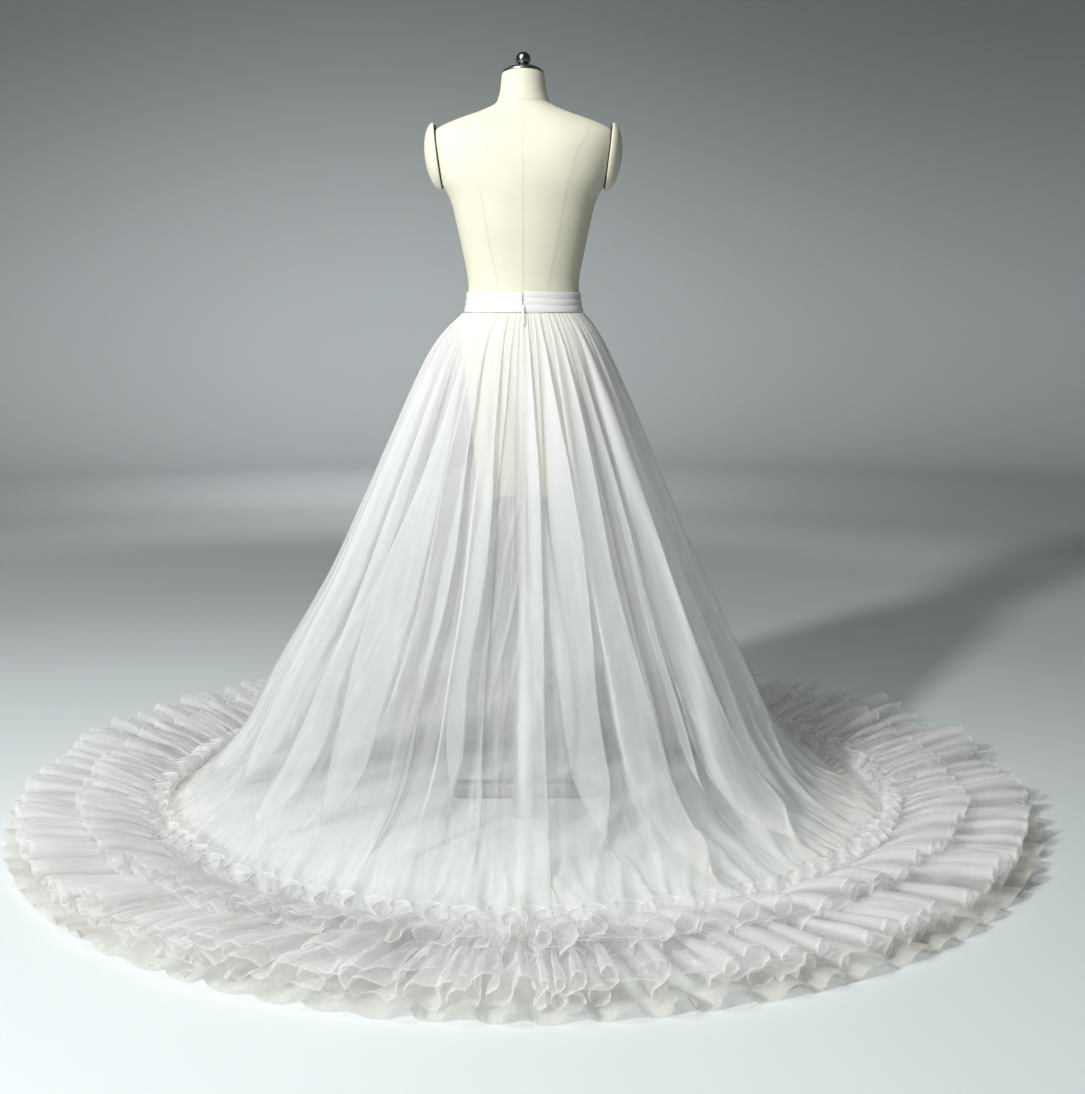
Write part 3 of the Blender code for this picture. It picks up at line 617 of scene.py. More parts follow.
def makeUnderLayer(material):
    count = underLayer["folds"]
    table = []
    for k in range(count):
        middle = 360 * (k + 0.5 + 0.45 * (hashed(k, 3) - 0.5)) / count
        side = 1 if hashed(k, 9) > 0.5 else -1
        table.append((
            middle, 2.0 + 1.4 * hashed(k, 4), 14 + 26 * hashed(k, 5), 0.5 + 0.6 * hashed(k, 7), side,
            0.65 + 0.2 * hashed(k, 11),
        ))
    levels = curveAlong(skirt["levels"][:len(underLayer["rows"]) + 1], underLayer["rows"])
    last = len(levels) - 1

    def place(column, row):
        level = levels[row]
        angle = fullTurn * (column % underLayer["columns"]) / underLayer["columns"] - math.pi
        inset = underLayer["inset"] * smooth(1.01, 0.9, level[0])
        point = clothPoint(level, row / last, angle, table, inset, layer=2.0)
        point.z = max(point.z, 0) * underLayer["sink"] + underLayer["lie"] * mm * smooth(40, 90, level[7])
        return point

    shape = movedGrid(underLayer["columns"], last, place, underLayer["flat"], closed=True)
    values = coverOf(shape, underLayer["cover"], lambda v: gatheredPly(v.co.z), slopeAt, underLayer["slant"])
    piece = makePiece("tulleUnderLayer", shape, material)
    setCover(piece, values)


def radialOf(vertex):
    return Vector((vertex.co.x, vertex.co.y, 0)).normalized()


def slopeAt(vertex):  # the way the cloth faces without its folds: out on the hanging part, up on the train
    lying = 1 - smooth(0.01, 0.09, vertex.co.z)
    return (radialOf(vertex) * (1 - lying) + up * (0.35 + lying)).normalized()


# inner and outer radius in m; low (at both edges), rise, swell, drop and rest in mm; the others are shares
# or counts
tiers = {"inner": 0.750, "over": 0.42, "lean": 0.9, "steps": 8, "drop": 0.02, "cover": 0.27}
upperRuffle = {
    **tiers, "outer": 0.890, "flutes": 108, "low": (8.0, 30.0), "rise": 9.0, "swell": 41.0, "puff": 1.4,
    "rows": 20, "perFlute": 18, "flat": (12.6, 0.165), "seed": 1, "rest": 11.0,
}
middleRuffle = {
    **tiers, "outer": 1.008, "flutes": 116, "low": (3.0, 18.0), "rise": 5.0, "swell": 44.0, "puff": 1.3,
    "rows": 24, "perFlute": 17, "flat": (15.0, 0.285), "seed": 2, "rest": 3.4,
}
headingRuffle = {
    "radius": 0.746, "waves": 84, "perWave": 18, "rows": 10, "low": 3.0, "high": 66.0, "sideHigh": 36.0,
    "swell": 27.0, "flat": (11.0, 0.055), "seed": 3, "steps": 8, "drop": 0.01, "rest": 2.5, "cover": 0.28,
}


def fluteTable(count, seed):
    # where each flute starts, how high it stands and how far it leans; widths and heights are uneven
    widths = [0.55 + 0.9 * hashed(i, seed) for i in range(count)]
    total = sum(widths)
    table, start = [], 0.0
    for i, width in enumerate(widths):
        table.append((start / total, 0.6 + 0.7 * hashed(i, seed, 1), hashed(i, seed, 2)))
        start += width
    table.append((1.0, *table[0][1:]))
    return table


def fluteColumn(table, column, perFlute):
    first = (column // perFlute) % (len(table) - 1)
    share = (column % perFlute) / perFlute
    here, following = table[first], table[first + 1]
    blend = smooth(0, 1, share)
    turn = here[0] + share * (following[0] - here[0])
    strength, lean = (here[i] + blend * (following[i] - here[i]) for i in (1, 2))
    return turn, fullTurn * share, strength, lean


# how much speed is kept, how stiff the net is along, over two threads, as it bends and aslant, and the share
# of each pull that is taken in one round
settling = {
    "keep": 0.92, "along": 1.0, "second": 0.15, "bend": 0.06, "aslant": 0.12, "take": 0.42, "rounds": 4,
}


def drawn(way, rest, stiff):  # the pull that brings a thread back to its length at rest
    size = np.maximum(np.linalg.norm(way, axis=-1, keepdims=True), 1e-7)
    return way * (stiff * (size - rest) / size)


def settle(points, look):
    # lets a gathered strip find its own shape: it keeps its flat lengths, sinks and rests on what is below
    rows = points.shape[0]
    share = np.linspace(0, 1, rows).reshape(rows, 1, 1)
    across = look["flat"][1] / (rows - 1)
    start = np.linalg.norm(np.roll(points, -1, axis=1) - points, axis=-1)
    along = (sum(np.roll(start, k, axis=1) for k in range(-24, 25)) / 49)[..., None]
    held = points[0].copy()
    speed = np.zeros_like(points)
    for step in range(look["steps"]):
        before = points.copy()
        points = points + settling["keep"] * speed
        points[..., 2] -= look["drop"] * mm
        for again in range(settling["rounds"]):
            shift = np.zeros_like(points)
            for stiff, gap in ((settling["along"], 1), (settling["second"], 2)):
                pull = drawn(np.roll(points, -gap, axis=1) - points, gap * along, 0.5 * stiff)
                shift += pull - np.roll(pull, gap, axis=1)
            for stiff, gap in ((0.5, 1), (settling["bend"], 2)):
                pull = drawn(points[gap:] - points[:-gap], gap * across, stiff)
                shift[:-gap] += pull
                shift[gap:] -= pull
            for turn in (1, -1):
                diagonal = np.sqrt(((along[1:] + along[:-1]) / 2) ** 2 + across ** 2)
                pull = drawn(np.roll(points, -turn, axis=1)[1:] - points[:-1], diagonal, settling["aslant"])
                shift[:-1] += pull
                shift[1:] -= np.roll(pull, turn, axis=1)
            points = points + settling["take"] * shift
            points[0] = held
            points[..., 2] = np.maximum(points[..., 2], (look["rest"] * share[..., 0] + 1.5) * mm)
        speed = np.clip(points - before, -2 * mm, 2 * mm)
    return points


def settledPiece(name, node, look, place, total, material, plies, facing):
    start = np.array([[place(column, row) for column in range(total)] for row in range(look["rows"] + 1)])
    points = settle(start, look)
    shape = movedGrid(
        total, look["rows"], lambda column, row: Vector(points[row, column % total]), look["flat"],
        closed=True,
    )
    values = coverOf(shape, look["cover"], plies, facing, 0.55)
    piece = makePiece(name, shape, material, replaced=(node,))
    setCover(piece, values)


def makeTier(name, node, look, material):
    table = fluteTable(look["flutes"], look["seed"])
    total = look["flutes"] * look["perFlute"]
    wide = look["outer"] - look["inner"]

    def place(column, row):
        turn, phase, strength, lean = fluteColumn(table, column, look["perFlute"])
        angle = fullTurn * turn
        share = row / look["rows"]
        ring = Vector((3 * math.sin(angle), 3 * math.cos(angle), look["seed"] * 5))
        near = 1 + (look["puff"] - 1) * smooth(0.2, 0.95, math.cos(angle))
        grow = 1.1 * share ** 0.85
        wave = math.cos(phase + 0.7 * noise.noise(ring * 6 + up * share * 1.5))
        swell = look["swell"] / 2 * mm * strength * grow * near
        low = look["low"][0] + share * (look["low"][1] - look["low"][0])
        low += look["rise"] * near * math.sin(math.pi * share ** 0.6)
        fine = 3.4 * mm * math.cos(3 * phase + 2 * noise.noise(ring * 5)) * math.exp(-share / 0.24)
        height = low * mm + swell * (1 + wave) + fine + 1.6 * mm
        radius = look["inner"] + wide * share
        radius += (24 * noise.noise(ring * 5) + 26 * wave * strength * share) * mm * share
        slip = 1.5 * look["lean"] * (lean - 0.1) * wave + look["over"] * near * math.sin(2 * phase)
        sideways = 2 * swell * slip
        side = -math.tanh(9 * math.sin(angle))  # flutes lean outwards from the centre back
        spot = Vector((radius * math.sin(angle), -radius * math.cos(angle), height))
        slant = wide * share * (0.22 * side + 0.55 * noise.noise(ring * 1.4))  # groups of flutes lie aslant
        spot += asideAt(angle) * (sideways * side - slant)
        spot += noise.noise_vector(spot * 16) * 6 * mm * share
        return spot

    def plies(vertex):
        # the free edge is turned and stitched, so it covers more, and so does the gathered one
        beyond = math.hypot(vertex.co.x, vertex.co.y) - look["inner"]
        edge = 1.1 if vertex.is_boundary and beyond > 0.4 * wide else 0
        return 1.0 + edge + math.exp(-max(beyond, 0) / 0.02)

    settledPiece(name, node, look, place, total, material, plies, lambda vertex: up)


def makeHeading(material):
    look = headingRuffle
    table = fluteTable(look["waves"], look["seed"])
    total = look["waves"] * look["perWave"]

    def place(column, row):
        turn, phase, strength, lean = fluteColumn(table, column, look["perWave"])
        angle = fullTurn * turn
        share = row / look["rows"]
        ring = Vector((3 * math.sin(angle), 3 * math.cos(angle), 20))
        high = look["sideHigh"] + (look["high"] - look["sideHigh"]) * smooth(-0.2, 0.9, math.cos(angle))
        swell = look["swell"] * mm * strength * (0.15 + 0.85 * share ** 1.2) * (high / look["high"]) ** 0.5
        height = look["low"] + (high - look["low"]) * share * (0.86 + 0.3 * noise.noise(ring * 7))
        radius = look["radius"] + 12 * mm * share + swell * math.cos(phase)
        sideways = swell * (1.2 * (lean - 0.5) * math.cos(phase) + 0.55 * math.sin(2 * phase))
        spot = Vector((radius * math.sin(angle), -radius * math.cos(angle), height * mm))
        spot += asideAt(angle) * sideways
        spot += noise.noise_vector(spot * 22) * 8.0 * mm * share
        return spot

    def plies(vertex):
        return 1.0 + (1.6 if vertex.is_boundary and vertex.co.z > 0.012 else 0)

    settledPiece(
        "ruffleHeading", "ruffle_heading", look, place, total, material, plies, radialOf,
    )


# height, half width, back, front (m), squareness of the oval (2 is an ellipse)
girths = [
    (0.654, 0.164, 0.1, 0.104, 2.2), (0.7, 0.173, 0.112, 0.11, 2.2), (0.78, 0.176, 0.12, 0.11, 2.2),
    (0.86, 0.17, 0.12, 0.105, 2.2), (0.92, 0.156, 0.109, 0.1, 2.15), (0.978, 0.136, 0.0925, 0.0925, 2.05),
    (1.012, 0.119, 0.0805, 0.088, 2.0), (1.06, 0.1112, 0.0756, 0.0856, 2.0),
    (1.09, 0.113, 0.077, 0.0885, 2.05), (1.139, 0.1225, 0.084, 0.099, 2.2),
    (1.18, 0.1312, 0.092, 0.113, 2.3), (1.237, 0.1455, 0.102, 0.13, 2.3),
    (1.275, 0.166, 0.106, 0.13, 2.3), (1.32, 0.181, 0.104, 0.118, 2.3), (1.35, 0.184, 0.096, 0.1, 2.3),
    (1.373, 0.173, 0.084, 0.082, 2.2), (1.392, 0.1335, 0.071, 0.068, 2.1),
    (1.407, 0.09, 0.06, 0.058, 2.05), (1.422, 0.0565, 0.053, 0.053, 2.0),
    (1.436, 0.0487, 0.049, 0.049, 2.0), (1.452, 0.045, 0.0455, 0.0455, 2.0),
    (1.478, 0.0422, 0.043, 0.043, 2.0),
]
form = {
    "columns": 128,
    "rowsPerGirth": 7,
    "neckTilt": math.radians(9),
    "armhole": Vector((0.1667, 0.002, 1.322)),
    "armholeLean": math.atan2(0.015, 0.124),
    "cap": (0.0570, 0.0665, 0.0265),
    "plateThick": 2.0 * mm,
    "gap": 0.3 * mm,
    "seamWide": 1.0 * mm,
    "seamLow": 0.70,
    "seamStep": 0.0365,
    "middleSteps": 21,
    "sideSteps": 15,
    "neckSeam": 1.429,
    "neckSeamSlope": 0.004,
}
# height and distance from the middle of the seams over the shoulder blades, and the same in front
shapingSeam = [
    (0.8, 0.062), (0.93, 0.056), (1.063, 0.05), (1.15, 0.067), (1.264, 0.089), (1.33, 0.106),
    (1.383, 0.119),
]
formRows = curveAlong(girths, [form["rowsPerGirth"]] * (len(girths) - 1))


def formGirth(height):
    above = next((i for i, row in enumerate(formRows) if row[0] >= height), len(formRows) - 1)
    low, high = formRows[max(above, 1) - 1], formRows[max(above, 1)]
    share = (height - low[0]) / (high[0] - low[0])
    return [a + share * (b - a) for a, b in zip(low, high)]


def formPoint(height, angle, clear=0.0):
    _, half, back, front, square = formGirth(height)
    deep = back if math.cos(angle) > 0 else front
    across = math.copysign(abs(math.sin(angle)) ** (2 / square), math.sin(angle)) * (half + clear)
    away = math.copysign(abs(math.cos(angle)) ** (2 / square), math.cos(angle)) * (deep + clear)
    return Vector((across, -away, height))


def armholePlace(side, out=0.0):  # local Z points out of the body, local Y runs up the armhole
    lean = form["armholeLean"]
    outwards = Vector((math.cos(lean) * side, 0, -math.sin(lean)))
    upwards = Vector((math.sin(lean) * side, 0, math.cos(lean)))
    place = Matrix((upwards.cross(outwards), upwards, outwards)).transposed().to_4x4()
    centre = form["armhole"]
    place.translation = Vector((centre.x * side, centre.y, centre.z)) + outwards * out
    return place


def linenMaterial(name, code):
    # linen, plain-woven and stretched over papier mache: matt, slubbed, a little uneven in tone. Its 0.5 mm
    # yarns are too fine to show, so the slubs are drawn 1.4 mm thick and 17 mm long
    material, tree = blankMaterial(name)
    patches = grainOf(tree, (111, 111, 111), 3.0)
    warp = grainOf(tree, (1.43, 1.43, 16.7), 2.0)
    weft = grainOf(tree, (16.7, 16.7, 1.43), 2.0)
    weave = addNode(tree, "Math", {0: warp, 1: weft}, operation="ADD")
    shade = addNode(tree, "MapRange", {
        "Value": patches, "From Min": 0.3, "From Max": 0.7, "To Min": 0.96, "To Max": 1.03,
    })
    base = addNode(tree, "Mix", {
        0: 1.0, 6: colour(code), 7: shade,
    }, data_type="RGBA", blend_type="MULTIPLY")
    bump = addNode(tree, "Bump", {"Height": weave, "Strength": 0.12, "Distance": 0.4 * mm})
    shader = addNode(tree, "BsdfPrincipled", {
        "Base Color": base.outputs[2], "Roughness": 0.88, "Specular IOR Level": 0.2, "Sheen Weight": 0.08,
        "Normal": bump,
    })
    return finishMaterial(material, shader)


def steelMaterial(name, code, roughness, scratch):
    # stainless steel, turned or brushed: fine scratches that stretch the highlights. The real 0.05 mm ones
    # are too fine to show, so they are drawn about 1 mm apart; scratch has their sizes in mm
    material, tree = blankMaterial(name)
    gloss = addNode(tree, "MapRange", {
        "Value": grainOf(tree, scratch, 4.0), "From Min": 0.3, "From Max": 0.7, "To Min": roughness - 0.1,
        "To Max": roughness + 0.12,
    })
    shader = addNode(tree, "BsdfPrincipled", {
        "Base Color": colour(code), "Metallic": 1.0, "Roughness": gloss,
    })
    return finishMaterial(material, shader)


def plainMaterial(name, code, roughness, metallic=0.0):  # an even surface: its name and use say what it is
    material, tree = blankMaterial(name)
    shader = addNode(tree, "BsdfPrincipled", {
        "Base Color": colour(code), "Roughness": roughness, "Metallic": metallic, "Specular IOR Level": 0.4,
    })
    return finishMaterial(material, shader)


def sheerMaterial(name, code, cover):  # a knitted sheer tape: half thread, half holes
    material, tree = blankMaterial(name)
    thread = addNode(tree, "BsdfPrincipled", {"Base Color": colour(code), "Roughness": 0.8})
    holes = addNode(tree, "BsdfTransparent", {})
    shader = addNode(tree, "MixShader", {0: cover, 1: holes, 2: thread})
    return finishMaterial(material, shader)


def satinMaterial():
    # polyester satin, woven with long floats: a soft broad gloss, with a trace of grain 11 mm long and
    # 0.45 mm high along the strip, coarser than its 0.1 mm yarns so that it shows
    material, tree = blankMaterial("polyesterSatin")
    grain = grainOf(tree, (11.1, 11.1, 0.455), 2.0)
    bump = addNode(tree, "Bump", {"Height": grain, "Strength": 0.1, "Distance": 0.3 * mm})
    shader = addNode(tree, "BsdfPrincipled", {
        "Base Color": colour("DEDEDC"), "Roughness": 0.42, "Specular IOR Level": 0.45, "Sheen Weight": 0.15,
        "Normal": bump,
    })
    return finishMaterial(material, shader)


def closeRims(shape):
    bmesh.ops.holes_fill(shape, edges=[edge for edge in shape.edges if edge.is_boundary])
    faceOut(shape)


def cutAway(shape, place, normal, **settings):  # cuts along a plane, drops one side and closes the cut
    parts = shape.verts[:] + shape.edges[:] + shape.faces[:]
    bmesh.ops.bisect_plane(shape, geom=parts, plane_co=place, plane_no=normal, **settings)
    closeRims(shape)


def makeForm(linen, seamPaintedShade):
    last = len(formRows) - 1

    def place(column, row):
        height = formRows[last - row][0]
        point = formPoint(height, fullTurn * column / form["columns"])
        point.z -= point.y * math.tan(form["neckTilt"]) * smooth(1.44, 1.478, height)
        return point

    shape = movedGrid(form["columns"], last, place, (1, 1), closed=True)
    closeRims(shape)
    for side in (-1, 1):
        cut = armholePlace(side)
        cutAway(shape, cut.translation, cut.col[2].to_3d(), clear_outer=True)
    body = makePiece("formBody", shape, linen, replaced=("form_torso",))
    roundEdge(body, 1.2 * mm)
    seams = [[(h, seamAngle(h, x, side)) for h, x in shapingSeam] for side in (1, -1)]
    seams += [[(h, math.pi - a) for h, a in line] for line in seams[:2]]
    for steps, turns in (
        (form["middleSteps"], (0, math.pi)), (form["sideSteps"], (-math.pi / 2, math.pi / 2)),
    ):
        seams += [[(form["seamLow"] + form["seamStep"] * i, turn) for i in range(steps)] for turn in turns]
    around = [fullTurn * i / 48 for i in range(49)]
    seams.append([(form["neckSeam"] - form["neckSeamSlope"] * math.cos(turn), turn) for turn in around])
    shape = bmesh.new()
    for line in seams:
        addSeam(shape, line)
    faceOut(shape)
    makePiece("formSeams", shape, seamPaintedShade)


def roundEdge(piece, width, segments=2):
    edge = piece.modifiers.new("roundEdge", "BEVEL")
    edge.width = width
    edge.segments = segments
    edge.limit_method = "ANGLE"
    edge.angle_limit = math.radians(50)
    edge.harden_normals = True


def seamAngle(height, across, side):  # the angle at which the form's oval is this far from the middle
    half, square = formGirth(height)[1], formGirth(height)[4]
    return side * math.asin(min((across / half) ** (square / 2), 1))


def addSeam(shape, line):
    # a narrow strip along a seam, just proud of the cover, in a darker linen: painted shade for the groove of
    # a flat-felled seam
    fine = []
    for (h0, a0), (h1, a1) in zip(line, line[1:]):
        fine += [(h0 + (h1 - h0) * t / 6, a0 + (a1 - a0) * t / 6) for t in range(6)]
    fine.append(line[-1])
    centre = [formPoint(h, a, 0.35 * mm) for h, a in fine]
    sides = []
    for i, point in enumerate(centre):
        along = (centre[min(i + 1, len(centre) - 1)] - centre[max(i - 1, 0)]).normalized()
        h, a = fine[i]
        outwards = (formPoint(h, a + 0.02) - formPoint(h, a - 0.02)).cross(up)
        if outwards.dot(Vector((point.x, point.y, 0))) < 0:
            outwards.negate()
        aside = along.cross(outwards).normalized() * form["seamWide"] / 2
        sides.append((shape.verts.new(point - aside), shape.verts.new(point + aside)))
    for (a, b), (c, d) in zip(sides, sides[1:]):
        shape.faces.new((a, b, d, c))


def makeCap(name, side, linen, node):
    shape = bmesh.new()
    bmesh.ops.create_uvsphere(shape, u_segments=72, v_segments=36, radius=1.0)
    cutAway(shape, (0, 0, 0), up, clear_inner=True, dist=0.001)  # the middle ring itself is the rim
    frameOut = armholePlace(side, 2 * form["gap"] + form["plateThick"])
    bmesh.ops.transform(shape, matrix=frameOut @ Matrix.Diagonal((*form["cap"], 1)), verts=shape.verts)
    faceOut(shape)
    roundEdge(makePiece(name, shape, linen, replaced=(node,)), 2.0 * mm, 3)


def makeTurned(name, profile, material, node):
    # profile is a list of radius and height from top to bottom, turned on the neck's leaning axis
    shape = turnedShape(profile, 0.02 * mm)
    seat = Matrix.Translation((0, 0, girths[-1][0])) @ Matrix.Rotation(-form["neckTilt"], 4, "X")
    bmesh.ops.transform(shape, matrix=seat, verts=shape.verts)
    makePiece(name, shape, material, replaced=(node,))


neck = {  # mm
    "capRadius": 40.5, "capThick": 11.0, "bevel": 6.0, "slope": 7.8, "low": 0.3, "knob": 14.5, "stem": 5.5,
}


def makeNeck(steel, polished):
    low, high = neck["low"], neck["low"] + neck["capThick"]
    outer, shoulder = neck["capRadius"], high - neck["bevel"]
    cap = [(0, high), (outer - neck["slope"] - 0.6, high), (outer - neck["slope"] + 0.4, high - 0.5)]
    cap += [(outer - 1.1, shoulder + 0.9), (outer - 0.2, shoulder + 0.2), (outer, shoulder - 0.5)]
    cap += [(outer, low + 0.6), (outer - 0.5, low), (0, low)]
    makeTurned("neckCap", [(r * mm, h * mm) for r, h in cap], steel, "neck_cap")
    foot = high + 0.3
    middle = foot + neck["stem"] + 13.5
    ball = [(0, middle + neck["knob"])]
    for step in range(1, 29):
        turn = math.radians(5.5 * step)
        ball.append((neck["knob"] * math.sin(turn), middle + neck["knob"] * math.cos(turn)))
    ball += [(5.6, foot + 4.0), (5.6, foot + 2.4), (7.4, foot + 1.2), (7.4, foot), (0, foot)]
    makeTurned("neckKnob", [(r * mm, h * mm) for r, h in ball], polished, "neck_knob")


band = {
    "low": 1.016, "high": 1.056, "clear": 0.5, "wall": 3.0,
    "lapRise": 2.0, "lapAngle": 36.0, "columns": 240, "rows": 36, "openGap": 1.6, "flat": (0.72, 0.052),
    "satinThick": 1.2, "stitches": 210, "stitchRows": (0.045, 0.955), "stitchLong": 0.68, "threadRadius": 0.2,
}  # heights in m, lapAngle in degrees, the rest in mm, shares or counts


def bandPuff(share, angle):  # soft tucks: three rounded folds with creases between them
    tucks = 3 * (1 - share) + 0.16 * ripple(2.5 * math.sin(angle), 2.5 * math.cos(angle), 5)
    crest = abs(math.sin(math.pi * tucks)) ** 0.55
    sag = 0.25 * ripple(6 * math.sin(angle), 6 * math.cos(angle), share * 4)
    return 0.50 + 0.46 * crest + 0.10 * sag


def bandPoint(share, angle, out=0.0):
    lap = max(0.0, 1 - math.degrees(angle % fullTurn) / band["lapAngle"])
    height = band["low"] + share * (band["high"] - band["low"] + band["lapRise"] * mm * lap)
    return formPoint(height, angle, (band["clear"] + band["wall"] * bandPuff(share, angle) + out) * mm)


def makeWaistband(satin):
    def place(column, row):
        angle = fullTurn * column / band["columns"]
        point = bandPoint(1 - row / band["rows"], angle - (1e-6 if column == band["columns"] else 0))
        if column in (0, band["columns"]):
            point.x = band["openGap"] / 2 * mm * (1 if column == 0 else -1)
        return point

    shape = movedGrid(band["columns"], band["rows"], place, band["flat"])
    faceOut(shape)
    strip = makePiece("satinWaistband", shape, satin, replaced=("waistband",))
    wall = strip.modifiers.new("wall", "SOLIDIFY")
    wall.thickness = band["satinThick"] * mm
    wall.offset = -1


def addTube(shape, points, radius, sides=6):
    # a round tube along a list of points, closed at both ends
    rings = []
    side = None
    for i, point in enumerate(points):
        along = (points[min(i + 1, len(points) - 1)] - points[max(i - 1, 0)]).normalized()
        if side is None:
            side = along.orthogonal().normalized()
        side = (side - along * side.dot(along)).normalized()
        other = along.cross(side)
        turns = [fullTurn * k / sides for k in range(sides)]
        rings.append([
            shape.verts.new(point + (side * math.cos(t) + other * math.sin(t)) * radius) for t in turns
        ])
    for a, b in zip(rings, rings[1:]):
        for k in range(sides):
            shape.faces.new((a[k], a[(k + 1) % sides], b[(k + 1) % sides], b[k]))
    shape.faces.new(rings[0][::-1])
    shape.faces.new(rings[-1])


def makeStitches(thread):
    # a row of top stitches 2 mm in from each edge of the waistband, about 3 mm a stitch
    shape = bmesh.new()
    margin = math.radians(1.5)
    step = (fullTurn - 2 * margin) / band["stitches"]
    for share in band["stitchRows"]:
        for i in range(band["stitches"]):
            start = margin + step * i
            end = start + step * band["stitchLong"]
            points = [
                bandPoint(share, start), bandPoint(share, (start + end) / 2, 0.28), bandPoint(share, end),
            ]
            addTube(shape, points, band["threadRadius"] * mm, 4)
    faceOut(shape)
    makePiece("waistbandStitches", shape, thread)


zipper = {  # end in m, the other sizes in mm
    "end": 0.82, "pitch": 1.15, "turnSteps": 8, "wire": 0.16, "tape": ((0.9, 0.75), (4.5, 1.3)),
}


def zipLine():  # the middle of the zip, from the top of the band down to its end in the centre-back seam
    points = [bandPoint(1 - step / 24, 0.0, -1.0) for step in range(25)]
    for point in points:
        point.x = 0
    levels = curveAlong(skirt["levels"], skirt["rows"])
    fall = []
    for row, level in enumerate(levels):
        if level[0] < zipper["end"]:
            break
        spot = clothPoint(level, row / (len(levels) - 1), 0.0, folds)
        fall.append(Vector((0, spot.y + 0.4 * mm, spot.z)))
    return points, fall


def makeZip(nylon, tapeCloth):
    points, fall = zipLine()
    line = points[:-1] + [points[-1] + (fall[0] - points[-1]) * t for t in (0, 0.5)] + fall
    coil = bmesh.new()
    walk = [line[0]]
    pitch, steps = zipper["pitch"] * mm, zipper["turnSteps"]
    for a, b in zip(line, line[1:]):
        count = max(1, round((b - a).length / (pitch / steps)))
        walk += [a + (b - a) * (k + 1) / count for k in range(count)]
    for mirror in (1, -1):
        turned = []
        for k, point in enumerate(walk):
            turn = fullTurn * k / steps + (math.pi if mirror < 0 else 0)
            across = mirror * (0.45 + 0.55 * math.cos(turn))
            turned.append(point + Vector((across, 0.45 * math.sin(turn), 0)) * mm)
        addTube(coil, turned, zipper["wire"] * mm, 4)
    faceOut(coil)
    makePiece("zipCoil", coil, nylon, replaced=("zip_coil",))
    tape = bmesh.new()
    for side in (-1, 1):
        inner, outer = (
            [tape.verts.new(p + Vector((side * aside, behind, 0)) * mm) for p in line]
            for aside, behind in zipper["tape"]
        )
        for k in range(len(line) - 1):
            tape.faces.new((inner[k], outer[k], outer[k + 1], inner[k + 1]))
    makePiece("zipTape", tape, tapeCloth)


def addPlate(shape, outlinePoints, place, thick):
    # a flat plate in the XY plane of place; the outline and the thickness are in mm
    rings = []
    for side in (-0.5, 0.5):
        rings.append([
            shape.verts.new(place @ Vector((x * mm, y * mm, side * thick * mm))) for x, y in outlinePoints
        ])
    shape.faces.new(rings[0][::-1])
    shape.faces.new(rings[1])
    count = len(outlinePoints)
    for k in range(count):
        shape.faces.new((rings[0][k], rings[0][(k + 1) % count], rings[1][(k + 1) % count], rings[1][k]))


def upright(origin, upwards):  # X across the closure, Y along upwards, Z outwards
    across = Vector((1, 0, 0))
    place = Matrix((across, upwards, across.cross(upwards))).transposed().to_4x4()
    place.translation = origin
    return place


closure = {  # mm
    "slider": [
        (-2.6, 6.5), (2.6, 6.5), (2.8, 5.6), (2.8, 1.6), (2.3, -0.6), (2.3, -6.0), (1.9, -6.5), (-1.9, -6.5),
        (-2.3, -6.0), (-2.3, -0.6), (-2.8, 1.6), (-2.8, 5.6),
    ],
    "bridge": [(2.2, -1.0), (2.3, 1.4), (1.6, 2.5), (0.0, 2.8), (-1.6, 2.5), (-2.3, 1.4), (-2.2, -1.0)],
    "pivotOut": 1.2, "pullLong": 37.0, "pullHalf": 2.9, "neck": (1.5, 6.0), "stirrup": (2.2, 0.0, 4.6),
    "hookHeight": 1.040,  # m
    "hook": [
        (3.6, 2.0), (4.2, 1.5), (3.6, 1.0), (2.6, 0.9), (0.2, 0.4), (-1.6, 0.0), (-2.6, 0.2), (-3.0, 0.7),
        (-2.6, 1.2),
    ],
}


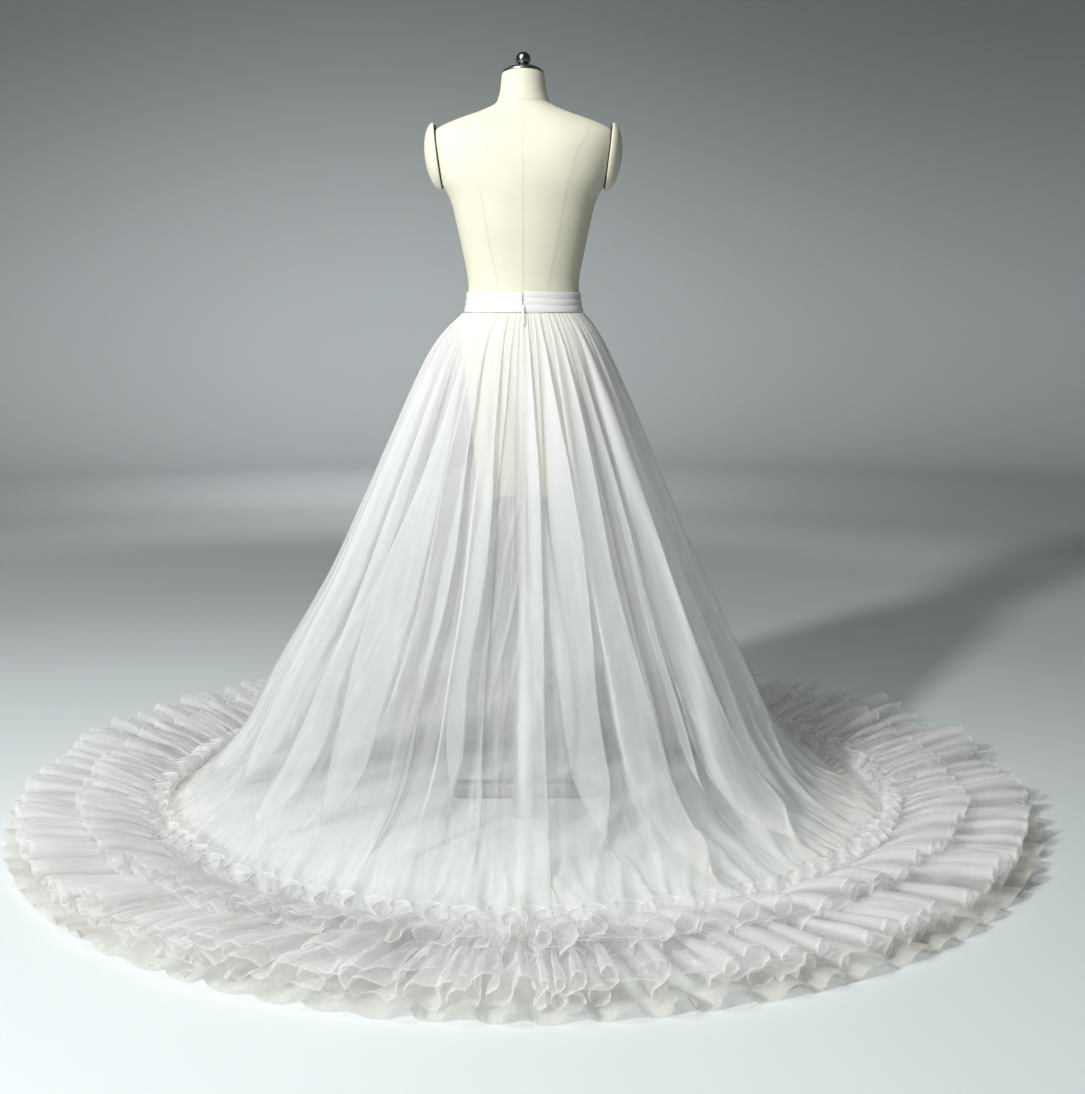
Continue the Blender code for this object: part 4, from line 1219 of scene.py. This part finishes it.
def makeClosure(enamel, wire):
    low, high = (formPoint(band[h], 0, (band["clear"] + band["wall"]) * mm) for h in ("low", "high"))
    upwards = (high - low).normalized()
    outwards = Vector((1, 0, 0)).cross(upwards)
    centre = low + upwards * 7.3 * mm + outwards * 2.7 * mm
    slider = bmesh.new()
    addPlate(slider, closure["slider"], upright(centre - outwards * 1.2 * mm, upwards), 2.4)
    bridge = [centre + upwards * z * mm + outwards * out * mm for z, out in closure["bridge"]]
    addTube(slider, bridge, 0.5 * mm, 10)
    faceOut(slider)
    roundEdge(makePiece("zipSlider", slider, enamel, replaced=("zip_slider",)), 0.45 * mm, 3)

    pivot = centre + outwards * closure["pivotOut"] * mm
    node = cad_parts["zip_pull"]
    spots = [node.matrix_world @ vertex.co for vertex in node.data.vertices]
    ends = [spot for spot in spots if (spot - pivot).length > 27 * mm]
    tip = sum(ends, Vector()) / len(ends)
    along = Vector((0, tip.y - pivot.y, tip.z - pivot.z)).normalized()
    place = upright(pivot, along)
    half, tail = closure["pullHalf"], closure["pullLong"] - closure["pullHalf"]
    neckHalf, neckLow = closure["neck"]
    drop = []
    for step in range(13):  # the plate widens from the neck to the round end
        share = step / 12
        flare = (half - neckHalf) * smooth(0, 1, share) * share ** 0.3
        drop.append((neckHalf + flare, neckLow - 1.6 + (tail - neckLow + 1.6) * share))
    for degrees in range(10, 91, 10):
        turn = math.radians(degrees)
        drop.append((half * math.cos(turn), tail + half * math.sin(turn)))
    drop += [(-x, y) for x, y in drop[-2::-1]]
    pull = bmesh.new()
    addPlate(pull, drop, place, 1.0)
    wide, near, far = closure["stirrup"]
    loop = [(-1.2, far), (-wide, far - 0.9), (-wide, near + 0.7), (-wide + 0.6, near)]
    loop += [(-x, y) for x, y in reversed(loop)]
    addTube(pull, [place @ Vector((x * mm, y * mm, 0)) for x, y in loop], 0.5 * mm, 10)
    faceOut(pull)
    roundEdge(makePiece("zipPull", pull, enamel, body="pull", replaced=("zip_pull",)), 0.22 * mm, 2)

    hook = bmesh.new()
    depth = formPoint(closure["hookHeight"], 0, (band["clear"] + band["wall"] + 0.75) * mm).y
    bent = [Vector((x * mm, depth, closure["hookHeight"] + z * mm)) for x, z in closure["hook"]]
    addTube(hook, bent, 0.42 * mm, 10)
    faceOut(hook)
    makePiece("waistHook", hook, wire, replaced=("waist_hook",))


makeCamera()
makeFloor()
makeLights()
print("studio made")

whiteTulle = tulleMaterial("nylonTulle", {
    "thin": "F2F4F6", "dense": "FAFAFA", "through": 0.56, "net": 2.4, "netDepth": 0.1,
    # painted shade: E6E2DA darkens the hem where the ruffle tiers above shadow it
    "lying": [("FDFBF7", 0.98, 1.16), ("E6E2DA", 1.46, 1.51)],
})
underTulle = tulleMaterial("nylonTulleUnder", {
    "thin": "F6F4EF", "dense": "F9F7F3", "through": 0.55, "net": 2.4, "netDepth": 0.08,
})
ruffleTulle = tulleMaterial("nylonTulleRuffle", {
    "thin": "FCFCFB", "dense": "FFFEFD", "through": 0.55, "net": 2.4, "netDepth": 0.08,
})
linen = linenMaterial("linenCover", "D8D5C0")
# painted shade: the darker linen CDCAB5 on the seam strips stands in for the shade in the seams' grooves
makeForm(linen, linenMaterial("linenSeamPaintedShade", "CDCAB5"))
makeCap("shoulderCapLeft", -1, linen, "form_cap_left")
makeCap("shoulderCapRight", 1, linen, "form_cap_right")
brushedSteel = steelMaterial("brushedSteel", "8C8C8A", 0.34, (1.11, 1.11, 16.7))
makeNeck(brushedSteel, steelMaterial("turnedSteel", "85857F", 0.2, (16.7, 16.7, 1.11)))
makeWaistband(satinMaterial())
makeStitches(plainMaterial("polyesterThread", "F2F3F3", 0.6))  # spun yarn, matt
nylonWire = plainMaterial("nylonCoil", "EDEEEE", 0.4)  # drawn monofilament, half gloss
makeZip(nylonWire, sheerMaterial("sheerZipTape", "E4E6E7", 0.3))
hookWire = steelMaterial("hookWire", "9A9A98", 0.3, (1.67, 16.7, 1.67))
makeClosure(plainMaterial("whiteEnamel", "EFF0EF", 0.3), hookWire)  # baked enamel on cast zinc, softly glossy
bareNodes = {
    "stand_pole": plainMaterial("chromedTube", "E2E2E0", 0.3, 1.0),  # steel tube, plated and polished
    "stand_base": plainMaterial("greyEnamel", "A6A6A2", 0.45),  # stoved enamel on steel bar, half matt
    "armhole_plate_left": plainMaterial("blackBoard", "2B2722", 0.7),  # pressed board, lacquered matt
}
bareNodes["armhole_plate_right"] = bareNodes["armhole_plate_left"]
for node, material in bareNodes.items():
    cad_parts[node].data.materials[0] = material
print("pole, base and armhole plates finished")

makePanel("tulleBackLeft", "skirt_back_left", -90, 0, whiteTulle, (2.1, 1.6))
makePanel("tulleBackRight", "skirt_back_right", 0, 90, whiteTulle, (2.1, 1.6))
makePanel("tulleFront", "skirt_front", 90, 270, whiteTulle, (3.6, 1.6))
makeUnderLayer(underTulle)
makeTier("ruffleMiddle", "ruffle_middle", middleRuffle, ruffleTulle)
makeTier("ruffleUpper", "ruffle_upper", upperRuffle, ruffleTulle)
makeHeading(ruffleTulle)
